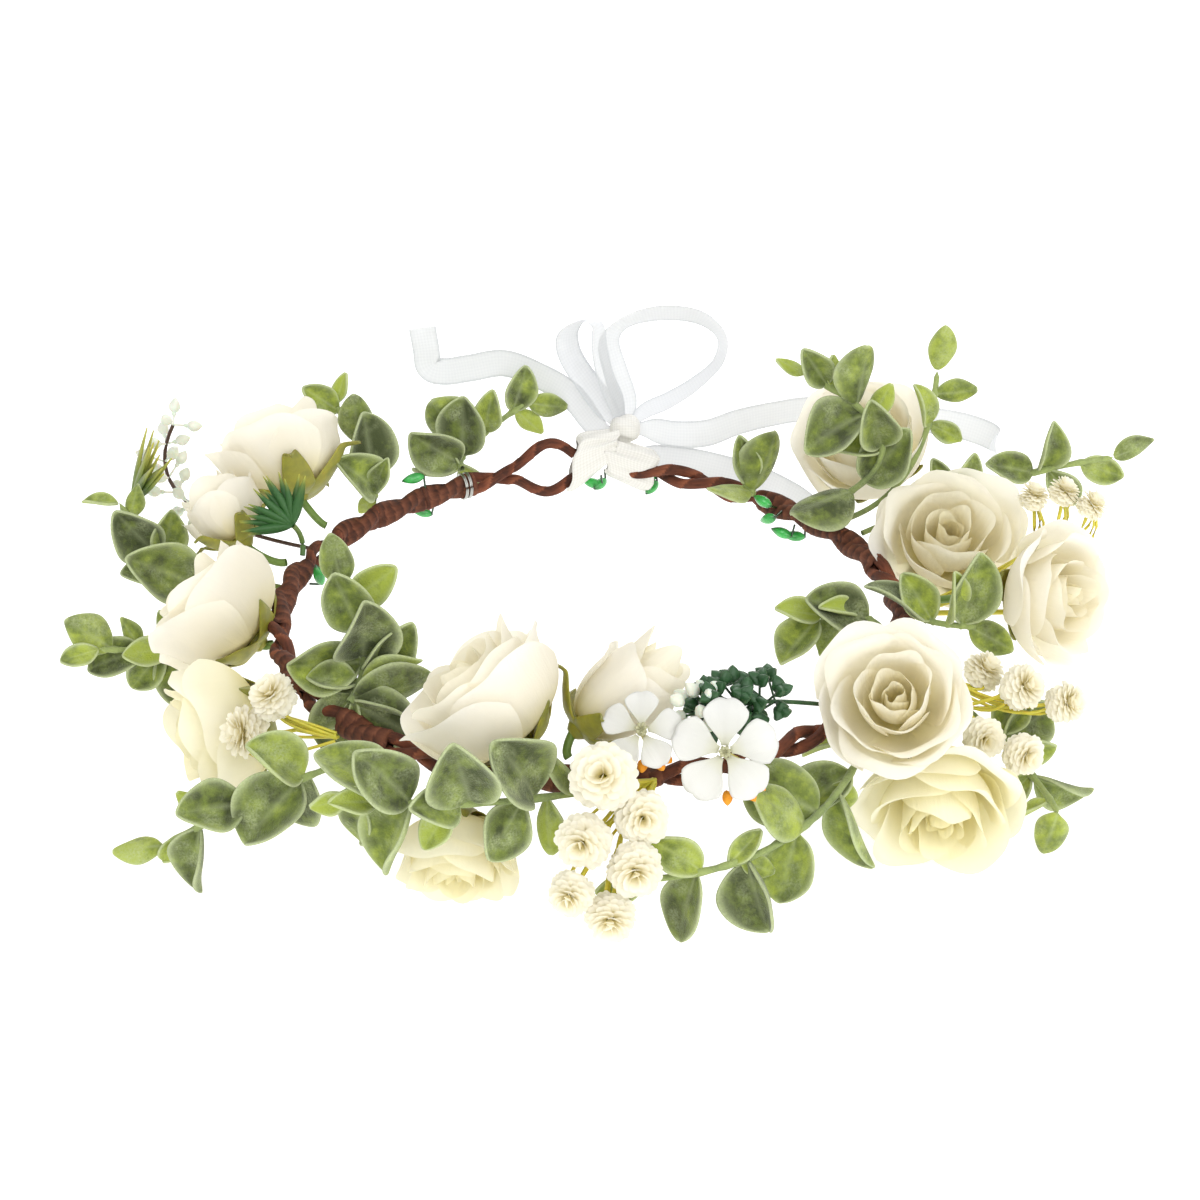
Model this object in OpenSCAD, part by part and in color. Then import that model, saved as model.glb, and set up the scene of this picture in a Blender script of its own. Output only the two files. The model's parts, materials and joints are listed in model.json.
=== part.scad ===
// Artificial flower crown: a twisted, paper-wrapped wire ring that is open at the back and tied with
// ribbon, with fabric roses, flocked eucalyptus, gypsophila, small blossoms and plastic fillers bound on.
// Millimetres. +Z up, -Y is the front of the crown, the ribbon bow is at +Y.
// The origin is the centre of the head opening, level with the ring.

/* [Ring] */
// Radius of the ring's centre line, half of a hat size
ring_r = 88; // [84:1:94]
// Radius of one paper-wrapped strand
strand_r = 1.7; // [1.4:0.1:1.8]
// Radius of the steel wire inside a strand
wire_r = 0.6; // [0.4:0.1:0.7]
// How many times the two strands turn round each other
twists = 16; // [12:1:18]
// Half height of the eye that the ribbon goes through
eye_half = 8; // [7:0.5:10]

/* [Roses] */
// Thickness of a calyx
calyx_t = 0.8; // [0.6:0.1:1]
// Radius of a rose's wire stem
rose_stem_r = 1.2; // [0.9:0.1:1.3]

/* [Foliage] */
// Thickness of a flocked leaf
leaf_t = 1; // [0.8:0.1:1.2]
// Radius of a sprig's stem
sprig_stem_r = 0.9; // [0.7:0.1:1.1]
// Radius of a filler's stem
filler_stem_r = 0.6; // [0.4:0.1:0.8]

/* [Ribbon] */
// Width of the ribbon
ribbon_w = 9; // [7:0.5:10]
// Thickness of the ribbon blank
ribbon_t = 0.5; // [0.4:0.1:0.6]

/* [Hidden] */
$fn = 32;
gap = 0.3;             // clear space between neighbouring pieces
bind_r = 5.4;          // where a stem starts, from the ring's centre line, just outside the tape
tape_r = 4.3;          // outside of the binding tape
tape_t = 0.6;
tape_l = 9;
start_a = 83;          // ring angle of the right end, beside the bow
sweep_a = 350;         // how far the ring runs round, clockwise
eye_a = 13;            // the last degrees of the ring, where the strands part as an eye
rings_per_twist = 6;
eye_rings = 10;

// Roses: [ring angle, distance out, height, facing azimuth, facing elevation, head radius]
ROSES = [
    [146.5, 111, 22, 125, 45, 18],
    [161, 113, 14, 140, 45, 12],
    [-177, 106, 5, 165, 35, 18.5],
    [-156, 109, -11, -160, -10, 18],
    [-107, 88, 21, 165, 50, 19.5],
    [-83, 78, 18, 25, 30, 13],
    [-107, 102, -16, -95, -35, 15.5],
    [-42, 105, 13, -103, 47, 17.5],
    [-38, 116, -19, -95, -20, 19],
    [18, 111, 8, -92, 52, 20],
    [-2, 131, 9, -42, 18, 18],
    [42, 113, 19, -120, 58, 19]
];

// Eucalyptus: [ring angle, side of the ring, middle of the stem, tip of the stem, leaves], where a leaf is
// [share of the stem, direction seen from the front, lean to the front, length, turn about its length].
SPRIGS = [
    [176, -40, [-117, 15, -17], [-142, 8, -15], [
        [0.93, 142, 0, 15, 10], [1, 195, 10, 11, -10], [0.76, 195, 10, 17, 15], [0.78, 125, -20, 10, 0],
        [0.6, 178, 25, 14, 0], [0.66, 232, 10, 15, -20], [0.55, 265, 20, 19, 25], [0.45, 150, -20, 14, 0]]],
    [170, -30, [-119, 34, -6], [-139, 41, 16], [
        [0.45, 142, 25, 23, 5], [0.68, 75, 0, 15, 25], [0.72, 122, 15, 19, -5], [1, 175, 0, 10, 30],
        [0.92, 75, -10, 10, 0], [0.6, 174, 20, 15, 20]]],
    [137, 70, [-68, 72, 14], [-78, 80, 31], [
        [0.95, 140, 10, 13, 10], [1, 70, -20, 9, 0], [0.7, 92, 10, 16, 0], [0.8, 20, 0, 8, 20],
        [0.35, 95, 0, 20, 10], [0.18, 122, 30, 18, 20], [0.12, 75, 10, 12, -30], [0.08, 235, -20, 9, 0]]],
    [116, 60, [-37, 92, 12], [-20, 98, 24], [
        [0.14, 140, 15, 19, 0], [0.28, 88, -5, 19, 5], [0.12, 290, -30, 13, 0], [0.05, 195, -30, 18, 15],
        [0.5, 128, 10, 19, -10], [0.66, 80, 10, 14, 0], [0.9, 72, 0, 15, 35], [1, -10, 0, 12, 25],
        [0.92, -42, 0, 11, 0]]],
    [-137, 110, [-60, -47, 14], [-66, -34, 27], [
        [0.22, 172, 0, 13, 30], [0.24, 12, -5, 16, 60], [0.32, 42, -10, 18, 45], [0.42, 178, 10, 19, 5],
        [0.45, 85, 25, 21, 5], [0.68, 110, 0, 17, 10], [0.9, 37, 0, 15, 25], [1, 100, 0, 14, 0]]],
    [-128, -20, [-81, -84, -6], [-112, -74, -29], [
        [0.34, 140, 10, 17, 20], [0.36, 222, 25, 21, 5], [0.32, 240, -20, 21, -10], [0.62, 178, 20, 17, 0],
        [0.8, 135, -10, 10, 10], [1, 186, 0, 13, 20], [0.84, 265, 10, 18, 30], [0.94, 240, -10, 9, 0]]],
    [-86, 10, [-30, -112, 8], [-58, -109, 8], [
        [0.1, 125, 0, 16, 60], [0.26, 112, 15, 21, 55], [0.48, 100, 20, 21, -5], [0.22, 272, 15, 14, 60],
        [0.3, 238, 25, 16, 10], [0.52, 155, 40, 15, 0], [0.56, 240, 10, 13, 0], [0.72, 124, 10, 19, 30],
        [0.72, 246, 10, 19, 35], [0.86, 165, 25, 12, 0], [1, 196, 0, 10, 0], [0.84, 145, -25, 20, 50],
        [0.95, 262, -15, 16, 20]]],
    [-36, -30, [52, -98, -9], [14, -112, -14], [
        [0.06, 195, 0, 17, 60], [0.2, 215, 15, 20, 20], [0.3, 300, 30, 20, 50], [0.46, 135, 20, 18, 35], [0.4, 155, -15, 21, 5],
        [0.5, 255, 20, 18, 5], [0.7, 288, 15, 19, 40], [0.76, 40, -25, 11, 0], [0.72, 330, -15, 10, 0],
        [0.84, 142, 0, 15, 20], [0.86, 256, 10, 18, 45], [1, 192, 10, 12, 0], [0.24, 262, -10, 14, 10]]],
    [-15, -40, [113, -38, -19], [124, -66, -24], [
        [0.55, -10, -20, 14, 20], [0.74, -20, 0, 17, 40], [0.9, 215, 0, 9, 60], [1, 258, 0, 13, 0],
        [0.5, 18, -35, 18, 0], [0.45, 48, -30, 15, 0], [0.72, 228, 10, 14, 10]]],
    [29, 20, [124, 60, 14], [157, 58, 23], [
        [0.32, 65, 0, 14, 35], [0.3, 112, -10, 12, 0], [0.64, 160, 20, 15, 0], [0.66, 72, 0, 15, 45],
        [0.7, -50, 0, 15, 20], [0.84, -15, 10, 13, 10], [1, 25, 0, 12, 20]]],
    [38, 100, [86, 47, 32], [64, 60, 49], [
        [1, 150, 0, 9, 10], [0.92, 122, 10, 14, 0], [0.78, 83, 0, 18, 50], [0.9, 88, -25, 9, 0],
        [0.68, 62, -10, 11, 0], [0.72, 200, 20, 20, 45], [0.48, 105, 15, 17, 0], [0.46, 176, 0, 13, 20],
        [0.22, 52, 0, 20, 5], [0.16, 190, 25, 20, 45]]],
    [33, 50, [96, 57, 20], [106, 82, 41], [
        [0.74, 105, 10, 14, 30], [1, 78, 0, 13, 20], [0.9, 5, 0, 12, 35], [0.76, -28, 0, 11, 10]]],
    [-10, 160, [75, -9, 5], [64, -8, 4], [
        [0.3, 160, 0, 18, 5], [0.5, 150, 20, 12, 50], [0.95, 165, 10, 13, 0], [1, 228, 20, 16, 10],
        [0.7, 238, 10, 13, 50]]],
    [-6, 40, [98, -12, 4], [108, -12, 3], [
        [0.2, 142, 0, 19, 50], [0.35, 125, -20, 15, 0], [0.6, 82, 0, 15, 60], [0.8, 75, -20, 20, 0],
        [0.9, -25, 15, 13, 10]]],
    [54, 140, [50, 68, 7], [47, 68, 10], [
        [0.5, 68, 0, 19, 50], [0.6, 160, 30, 16, 45], [0.9, 95, 0, 15, 30]]]
];

// Gypsophila: [ring angle, side of the ring, [x, y, z] where the stems part, [[x, y, z, radius] of each head]]
POMPON_SPRAYS = [
    [-135, -10, [-76, -63, 0], [[-91, -63, -1, 6.5], [-83, -62, 10, 6]]],
    [-80, 20, [9, -99, 3], [[3, -112, 16, 8], [13, -114, 5, 6.5], [-2, -119, 1, 6.5], [11, -121, -6, 6.5],
                            [-5, -124, -11, 5.5], [5, -124, -18, 6]]],
    [-18, 0, [99, -38, -8], [[108, -31, 0, 5.5], [117, -42, 1, 6], [129, -42, -4, 5.5], [105, -55, -8, 5.5],
                             [116, -57, -12, 5.5]]],
    [4, -50, [119, 10, -4], [[130, 36, 21, 4.5], [139, 37, 22, 4.5], [147, 34, 19, 4.5]]]
];

// Five-petalled blossoms: [ring angle, side, [x, y, z] of the centre, azimuth, elevation, radius]
BLOSSOMS = [
    [-66, 40, [33, -101, 16], -90, 30, 13.2],
    [-79, 60, [12.7, -96, 19], -95, 45, 9.7]
];

// Budded fillers: [ring angle, side, middle of the stem, tip of the stem, rows of buds]
BUD_SPRIGS = [
    [-44, 100, [41, -80, 18], [27, -89, 20], 9],
    [154, -10, [-123, 60, 8], [-125, 62, 32], 7]
];

// Spiked palm fans: [ring angle, side, middle of the stem, tip of the stem, radius, facing azimuth,
//                    half of the fan's angle]
PALM_FANS = [
    [166, -60, [-129, 46, -1], [-137, 50, 13], 22, -150, 30],
    [164, 100, [-84, 26, 12], [-86, 24, 17], 16, -85, 62]
];

// Pips, each a short bead: [ring angle, side, turn of the bead's axis]
PIPS = [
    [127, 70, 20], [125, -60, -40], [89.5, -80, -25], [88, -85, 60], [79, -50, 20], [77.5, -75, 70],
    [50, 150, 10], [48, -170, -30], [46, -120, 15], [44, -100, 50], [-19, 110, 30], [166, 170, 80]
];

// Ribbon routes, each point [x, y, z, width direction x, y, z], from the knot outwards.
KNOT = [11, 93, 17];
LOOP_LEFT = [
    [5, 96, 23, 0.6, 0.5, 0.6], [-1, 98, 31, 0.7, 0.6, 0.4], [-6, 99, 39, 0.8, 0.6, 0.2],
    [-7, 99, 46, 0.8, 0.6, 0], [-3, 98, 51, 0.6, 0.8, -0.2], [2, 97, 50, 0.5, 0.8, -0.3],
    [3, 96, 42, 0.5, 0.8, 0], [5, 96, 33, 0.5, 0.8, 0.2], [8, 96, 25, 0.5, 0.8, 0.3]
];
LOOP_RIGHT = [
    [11, 99, 24, 0.9, 0.4, 0.1], [8, 102, 33, 0.9, 0.5, 0], [6, 104, 42, 0.8, 0.6, -0.2],
    [11, 105, 48, 0.3, 0.7, -0.6], [22, 105, 51, 0, 0.6, -0.8], [34, 104, 50, -0.2, 0.6, -0.7],
    [41, 103, 44, -0.2, 0.9, -0.4], [40, 102, 36, 0.2, 0.9, -0.2], [33, 101, 29, 0.2, 0.9, -0.4],
    [25, 100, 24, 0.1, 0.9, -0.5], [18, 99, 21, 0, 0.9, -0.5]
];
TAIL_LEFT = [
    [2, 95, 17, 0.3, 0.1, 0.9], [-6, 101, 25, 0.4, 0.1, 0.9], [-16, 105, 30, 0.2, 0.1, 1],
    [-27, 108, 33, 0, 0.2, 1], [-38, 109, 31, 0, 0.3, 1], [-46, 111, 29, 0.2, 0.3, 1],
    [-51, 112, 30, 0.9, 0.1, 0.9], [-52, 112.5, 36, 1, 0, 0.1], [-53, 113, 43, 1, 0, 0]
];
TAIL_RIGHT = [
    [19, 95, 16, 0, 0.5, 0.9], [27, 97, 13.5, 0, 0.6, 0.8], [37, 99, 13, 0, 0.3, 0.9],
    [47, 103, 15, 0, 0.1, 1], [58, 107, 16, 0, 0, 1], [70, 111, 16, 0, 0, 1],
    [88, 114, 14, 0, 0, 1], [106, 115, 11, 0, 0.2, 1], [121, 113, 9, 0, 0.4, 0.9],
    [130, 107, 7, 0, 0.3, 0.9], [128, 100, 4, 0, 0.2, 0.9]
];
TAIL_UNDER = [
    [18.5, 96.5, 6, 0, 0.1, 1], [30, 98, 4, 0, 0.2, 1], [43, 98, 1, 0, 0.2, 1],
    [55, 96, -2, 0, 0.1, 1], [66, 91, -6, 0, 0, 1], [75, 86, -12, 0, 0, 1]
];

// ---- vectors and frames ----
function unit(v) = v / norm(v);
function heading(az, el) = [cos(el) * cos(az), cos(el) * sin(az), sin(el)];
function across(d) = unit(cross(abs(d.z) > 0.95 ? [0, 1, 0] : [0, 0, 1], d));
function clamp01(t) = min(1, max(0, t));

// Puts the children's +Z along d at p, with their +X along x.
module frame_at(p, x, d) {
    y = cross(d, x);
    multmatrix([[x.x, y.x, d.x, p.x], [x.y, y.y, d.y, p.y], [x.z, y.z, d.z, p.z], [0, 0, 0, 1]])
        children();
}

module aim(p, d) {
    frame_at(p, across(d), d) children();
}

module rod(p, q, r, sides = 32) {
    aim(p, unit(q - p)) cylinder(r = r, h = norm(q - p), $fn = sides);
}

// ---- the ring ----
function ring_z(a) = 1.5 + 1.5 * sin(a) + 4 * pow(max(0, sin(a)), 12);
function ring_at(a) = [ring_r * cos(a), ring_r * sin(a), ring_z(a)];
function ring_side(a, side) = cos(side) * [cos(a), sin(a), 0] + sin(side) * [0, 0, 1];
function bind_at(a, side) = ring_at(a) + bind_r * ring_side(a, side);

eye_start = 1 - eye_a / sweep_a;
function strand_turn(t) = 90 + 360 * twists * max(0, eye_start - t) / eye_start;
function strand_out(t) =
    let (u = clamp01((t - eye_start) / (1 - eye_start)))
    strand_r * 1.14 + (eye_half - strand_r) * pow(sin(155 * u), 1.5);
function strand_steps() = concat(
    [for (i = [0:twists * rings_per_twist]) eye_start * i / (twists * rings_per_twist)],
    [for (i = [1:eye_rings]) eye_start + (1 - eye_start) * i / eye_rings]);
function strand_path(half_turn) = [
    for (t = strand_steps())
        let (a = start_a - sweep_a * t)
        ring_at(a) + strand_out(t) * ring_side(a, strand_turn(t) + half_turn)];

// A tube swept along a path, hollow if bore > 0.
function tangent(p, i) = unit(p[min(i + 1, len(p) - 1)] - p[max(i - 1, 0)]);
function ring_of(p, i, r, sides) =
    let (d = tangent(p, i), u = across(d), v = cross(d, u))
    [for (k = [0:sides - 1]) p[i] + r * (cos(360 * k / sides) * u + sin(360 * k / sides) * v)];
function skin(n, sides, first, inward) = [
    for (i = [0:n - 2], k = [0:sides - 1], half = [0, 1])
        let (a = first + i * sides + k, b = first + i * sides + (k + 1) % sides,
             c = b + sides, d = a + sides,
             f = half == 0 ? [a, b, c] : [a, c, d])
        inward ? [f[2], f[1], f[0]] : f];

module sweep(path, r, bore, sides) {
    n = len(path);
    shell = [for (i = [0:n - 1]) each ring_of(path, i, r, sides)];
    hole = bore > 0 ? [for (i = [0:n - 1]) each ring_of(path, i, bore, sides)] : [];
    m = len(shell);
    last = (n - 1) * sides;
    caps = bore > 0
        ? [for (k = [0:sides - 1])
            let (j = (k + 1) % sides)
            each [[k, k + m, j + m], [k, j + m, j],
                  [last + k, last + j, last + j + m], [last + k, last + j + m, last + k + m]]]
        : concat([for (k = [1:sides - 2]) [0, k + 1, k]],
                 [for (k = [1:sides - 2]) [last, last + k, last + k + 1]]);
    faces = concat(skin(n, sides, 0, false), bore > 0 ? skin(n, sides, m, true) : [], caps);
    polyhedron(concat(shell, hole), [for (f = faces) [f[2], f[1], f[0]]]);
}

module vine_strand(half_turn) {
    color("saddlebrown") sweep(strand_path(half_turn), strand_r, wire_r + 0.25, 6);
}

module core_wires() {
    color("silver")
    for (half_turn = [0, 180]) sweep(strand_path(half_turn), wire_r, 0, 6);
}

// Every ring angle where something is bound on.
function bound_angles() = concat([for (r = ROSES) rose_bind_angle(r)], [for (s = SPRIGS) s[0]],
    [for (s = POMPON_SPRAYS) s[0]], [for (s = BLOSSOMS) s[0]]);

tape_step = 12;
function is_bound(a) = min([for (b = bound_angles()) abs((b - a + 540) % 360 - 180)]) < tape_step / 2;

module ring_collar(a, r, t, l) {
    frame_at(ring_at(a), [cos(a), sin(a), 0], [sin(a), -cos(a), 0])
    difference() {
        cylinder(r = r, h = l, center = true);
        cylinder(r = r - t, h = l + 1, center = true);
    }
}

module binding_tape() {
    color("darkolivegreen")
    for (a = [-180:tape_step:168]) if (is_bound(a)) ring_collar(a, tape_r, tape_t, tape_l);
}

module tie_wires() {
    color("lightgray")
    for (a = [115.5, 116.5]) frame_at(ring_at(a), [cos(a), sin(a), 0], [sin(a), -cos(a), 0])
        rotate_extrude() translate([3.95, 0]) circle(r = 0.25, $fn = 16);
}

// ---- roses ----
function rose_at(r) = [r[1] * cos(r[0]), r[1] * sin(r[0]), r[2]];
function rose_axis(r) = heading(r[3], r[4]);
knob_l = 3;
under = [[0, -0.66], [0.35, -0.6], [0.7, -0.38], [0.95, 0.02]];
brim = [[1, 0.3], [0.93, 0.5], [0.74, 0.6], [0.5, 0.52], [0.25, 0.48], [0, 0.46]];

module rose_petals(r) {
    color("ivory") aim(rose_at(r), rose_axis(r))
    rotate_extrude() polygon([for (p = concat(under, brim)) r[5] * p]);
}

// A rose is bound where the foot of its knob comes nearest to the ring.
function rose_foot(r) = rose_at(r) - rose_axis(r) * (gap + calyx_t + knob_l - under[0].y * r[5]);
function rose_bind_angle(r) = let (f = rose_foot(r)) atan2(f.y, f.x);
function rose_bind(r) =
    let (c = ring_at(rose_bind_angle(r)))
    c + bind_r * unit(rose_foot(r) - c);

// The sepal cup: a thin shell under the petals, cut to a five-pointed star, on a knob and a wire stem.
module rose_calyx(r) {
    head = r[5];
    low = -under[0].y * head + gap;
    foot = rose_foot(r);
    color("olive") {
        aim(rose_at(r), rose_axis(r)) {
            intersection() {
                rotate_extrude() polygon(concat(
                    [for (p = under) [p.x * head * 1.02, p.y * head - gap]],
                    [for (i = [3:-1:0]) [under[i].x * (head + calyx_t) * 1.02,
                                         under[i].y * head - gap - calyx_t]]));
                translate([0, 0, -head]) linear_extrude(1.2 * head)
                    polygon([for (i = [0:9]) (i % 2 == 0 ? 0.86 : 0.3) * head * [cos(36 * i), sin(36 * i)]]);
            }
            translate([0, 0, -low - calyx_t - knob_l]) cylinder(r1 = 2, r2 = 3.4, h = knob_l + gap);
        }
        rod(rose_bind(r), foot + 0.2 * rose_axis(r), rose_stem_r);
    }
}

// ---- stems and eucalyptus ----
// A stem's curve runs from the ring through its middle point to its tip.
function stem_start(s) = bind_at(s[0], s[1]);
function stem_point(s, t) =
    let (a = stem_start(s), m = s[2], b = s[3])
    a * (1 - t) * (1 - 2 * t) + m * 4 * t * (1 - t) + b * t * (2 * t - 1);
function stem_way(s, t) = unit(stem_point(s, min(1, t + 0.05)) - stem_point(s, max(0, t - 0.05)));
stem_steps = 8;

module stem(s, r) {
    sweep([for (i = [0:stem_steps]) stem_point(s, i / stem_steps)], r, 0, 6);
}

// A leaf at turn 0 shows its face to the front and a little upwards.
look = unit([0, -0.88, 0.47]);
function leaf_way(leaf) = heading_front(leaf[1], leaf[2]);
function heading_front(a, lean) = [cos(a) * cos(lean), -sin(lean), sin(a) * cos(lean)];
function turned(v, axis, a) = v * cos(a) + cross(axis, v) * sin(a);
function leaf_face(leaf) =
    let (d = leaf_way(leaf), n = unit(look - (look * d) * d))
    turned(n, d, leaf[4]);
// Long leaves are nearly round, short ones are narrow.
function leaf_share(l) = min(0.92, 0.25 + 0.03 * l);
function leaf_half(t, l) = max(0.35, leaf_share(l) * l / 2 * pow(sin(180 * pow(t, 0.85)), 0.8));
leaf_points = 7;
function leaf_outline(l) = concat(
    [for (i = [0:leaf_points]) [l * i / leaf_points, leaf_half(i / leaf_points, l)]],
    [for (i = [leaf_points:-1:0]) [l * i / leaf_points, -leaf_half(i / leaf_points, l)]]);

module eucalyptus(s) {
    color("darkseagreen") {
        stem(s, sprig_stem_r);
        for (leaf = s[4]) {
            d = leaf_way(leaf);
            base = stem_point(s, leaf[0]) + (sprig_stem_r + gap) * d;
            frame_at(base, d, leaf_face(leaf))
                linear_extrude(leaf_t, center = true) polygon(leaf_outline(leaf[3]));
        }
    }
}

// ---- gypsophila ----
module gypsophila(s) {
    fork = s[2];
    color("khaki") rod(bind_at(s[0], s[1]), fork + unit(fork - bind_at(s[0], s[1])), filler_stem_r * 1.5, 6);
    for (h = s[3]) {
        c = [h[0], h[1], h[2]];
        way = unit(c - fork);
        color("khaki") rod(fork, c - way * (h[3] + gap), filler_stem_r, 6);
        color("ivory") translate(c) sphere(r = h[3]);
    }
}

// ---- five-petalled blossoms ----
module blossom(b) {
    way = heading(b[3], b[4]);
    u = across(way);
    v = cross(way, u);
    color("white") {
        for (k = [0:4]) {
            out = cos(72 * k + 18) * u + sin(72 * k + 18) * v;
            frame_at(b[2] + 1.8 * out, out, way)
            linear_extrude(leaf_t, center = true)
            polygon([for (i = [0:11]) [b[5] * 0.44 * (1 - cos(30 * i)), b[5] * 0.34 * sin(30 * i)]]);
        }
        aim(b[2] - 1 * way, way) cylinder(r = 1.4, h = 2.4);
    }
    color("khaki") rod(bind_at(b[0], b[1]), b[2] - 1.3 * way, filler_stem_r);
}

// ---- budded fillers ----
bud_r = 1.9;
bud_arm = 4.6;

module bud_sprig(s) {
    color("darkgreen") {
        stem(s, filler_stem_r);
        for (k = [0:s[4] - 1], arm = [0:2]) {
            t = 0.34 + 0.66 * k / (s[4] - 1);
            way = stem_way(s, t);
            u = across(way);
            turn = 120 * arm + 47 * k;
            out = unit(cos(turn) * u + sin(turn) * cross(way, u) + 0.5 * way);
            translate(stem_point(s, t) + bud_arm * out) sphere(r = bud_r, $fn = 16);
        }
    }
}

// ---- spiked palm fans ----
spikes = 11;

module palm_fan(f) {
    tip = stem_point(f, 1);
    face = heading(f[5], 20);
    rise = stem_way(f, 1);
    up = unit(rise - (rise * face) * face);
    color("forestgreen") {
        stem(f, filler_stem_r * 1.3);
        frame_at(tip, up, face) linear_extrude(leaf_t, center = true)
        polygon(concat([[0, -1.2], [0, 1.2]],
            [for (i = [0:2 * spikes])
                let (a = f[6] * (1 - i / spikes), r = (i % 2 == 0 ? 0.5 : 1) * f[4])
                [2 + r * cos(a), r * sin(a)]]));
    }
}

// ---- pips ----
pip_r = 1.6;
pip_l = 7.6;

module pips() {
    color("limegreen")
    for (p = PIPS) {
        out = ring_side(p[0], p[1]);
        along = [-sin(p[0]), cos(p[0]), 0];
        way = unit(cos(p[2]) * along + sin(p[2]) * cross(along, out));
        aim(ring_at(p[0]) + (bind_r + pip_r) * out, way)
        rotate_extrude() polygon([for (i = [0:8]) [pip_r * sin(22.5 * i), -pip_l / 2 * cos(22.5 * i)]]);
    }
}

// ---- ribbon ----
// A smooth curve through the route's points.
function between(a, b, c, d, t) =
    0.5 * (2 * b + (c - a) * t + (2 * a - 5 * b + 4 * c - d) * t * t + (3 * b - a - 3 * c + d) * t * t * t);
function smooth(p, steps) = concat(
    [for (i = [0:len(p) - 2], k = [0:steps - 1])
        between(p[max(i - 1, 0)], p[i], p[i + 1], p[min(i + 2, len(p) - 1)], k / steps)],
    [p[len(p) - 1]]);
function place(q) = [q[0], q[1], q[2]];
function width_way(q) = unit([q[3], q[4], q[5]]);

module ribbon(route) {
    p = smooth(route, 2);
    at = [for (q = p) place(q)];
    corners = [for (i = [0:len(p) - 1])
        let (d = tangent(at, i), w = width_way(p[i]), n = unit(cross(d, w)))
        each [at[i] + w * ribbon_w / 2 + n * ribbon_t / 2, at[i] - w * ribbon_w / 2 + n * ribbon_t / 2,
              at[i] - w * ribbon_w / 2 - n * ribbon_t / 2, at[i] + w * ribbon_w / 2 - n * ribbon_t / 2]];
    last = (len(p) - 1) * 4;
    color("whitesmoke")
    polyhedron(corners, concat(skin(len(p), 4, 0, true), [[0, 1, 2], [0, 2, 3]],
        [[last, last + 2, last + 1], [last, last + 3, last + 2]]));
}

// The knot on top, and the band that it ties round both ends of the ring.
module ribbon_knot() {
    color("whitesmoke") {
        translate(KNOT) rotate([0, 90, 0]) cylinder(r = 4.6, h = 6.4, center = true, $fn = 10);
        difference() {
            translate([-1, ring_r - 5, -6]) cube([13, 10, 20]);
            translate([-2, ring_r - 4.4, -5.4]) cube([15, 8.8, 18.8]);
        }
    }
}

vine_strand(0);  // vine_strand_outer
vine_strand(180);  // vine_strand_inner
core_wires();
binding_tape();
tie_wires();
for (i = [1:len(ROSES)]) {
    rose_petals(ROSES[i - 1]);
    rose_calyx(ROSES[i - 1]);
}
for (i = [1:len(SPRIGS)])
    eucalyptus(SPRIGS[i - 1]);
for (i = [1:len(POMPON_SPRAYS)])
    gypsophila(POMPON_SPRAYS[i - 1]);
for (i = [1:len(BLOSSOMS)])
    blossom(BLOSSOMS[i - 1]);
for (i = [1:len(BUD_SPRIGS)])
    bud_sprig(BUD_SPRIGS[i - 1]);
for (i = [1:len(PALM_FANS)])
    palm_fan(PALM_FANS[i - 1]);
pips();
ribbon_knot();
union() {  // ribbon_bow
    ribbon(LOOP_LEFT);
    ribbon(LOOP_RIGHT);
}
ribbon(TAIL_LEFT);  // ribbon_tail_left
ribbon(TAIL_RIGHT);  // ribbon_tail_right
ribbon(TAIL_UNDER);  // ribbon_tail_under
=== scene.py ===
# %% [markdown]
# # A flower crown of silk roses and flocked eucalyptus
# Two paper-wrapped wires are twisted into a ring, flowers and sprigs are bound on to it, and a sheer
# ribbon ties its ends. The frame holds a plain solid for every part at its true place. Each
# finished piece is worked out in millimetres and written out in metres.

# %% Load the frame
import bpy
import bmesh
import json
import math
import numpy as np
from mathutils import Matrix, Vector

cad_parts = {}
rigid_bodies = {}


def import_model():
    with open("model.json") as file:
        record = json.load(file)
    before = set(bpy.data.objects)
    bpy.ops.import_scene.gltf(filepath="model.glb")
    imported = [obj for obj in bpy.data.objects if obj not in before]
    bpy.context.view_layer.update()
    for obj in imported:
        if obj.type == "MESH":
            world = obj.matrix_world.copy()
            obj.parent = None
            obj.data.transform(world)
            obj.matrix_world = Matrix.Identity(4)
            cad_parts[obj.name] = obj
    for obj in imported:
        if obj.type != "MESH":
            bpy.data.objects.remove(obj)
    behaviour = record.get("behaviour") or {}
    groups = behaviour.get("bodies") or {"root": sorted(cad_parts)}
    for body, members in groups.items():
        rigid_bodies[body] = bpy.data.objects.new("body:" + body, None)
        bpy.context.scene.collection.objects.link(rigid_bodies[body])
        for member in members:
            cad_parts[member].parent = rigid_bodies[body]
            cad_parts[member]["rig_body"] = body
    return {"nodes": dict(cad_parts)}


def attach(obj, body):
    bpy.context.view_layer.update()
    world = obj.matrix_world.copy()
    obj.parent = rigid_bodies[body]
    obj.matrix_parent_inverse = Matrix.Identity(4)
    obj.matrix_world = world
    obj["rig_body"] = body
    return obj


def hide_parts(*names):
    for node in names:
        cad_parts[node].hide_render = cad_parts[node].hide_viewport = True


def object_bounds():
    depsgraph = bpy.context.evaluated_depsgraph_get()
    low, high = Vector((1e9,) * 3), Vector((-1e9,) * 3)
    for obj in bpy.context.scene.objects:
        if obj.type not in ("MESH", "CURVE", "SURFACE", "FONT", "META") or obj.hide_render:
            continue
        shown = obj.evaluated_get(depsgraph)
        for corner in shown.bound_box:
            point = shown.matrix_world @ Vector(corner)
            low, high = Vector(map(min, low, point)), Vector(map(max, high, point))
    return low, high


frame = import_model()
cad_low, cad_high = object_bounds()
MM = 0.001
print("parts on the frame:", len(frame["nodes"]))

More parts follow.
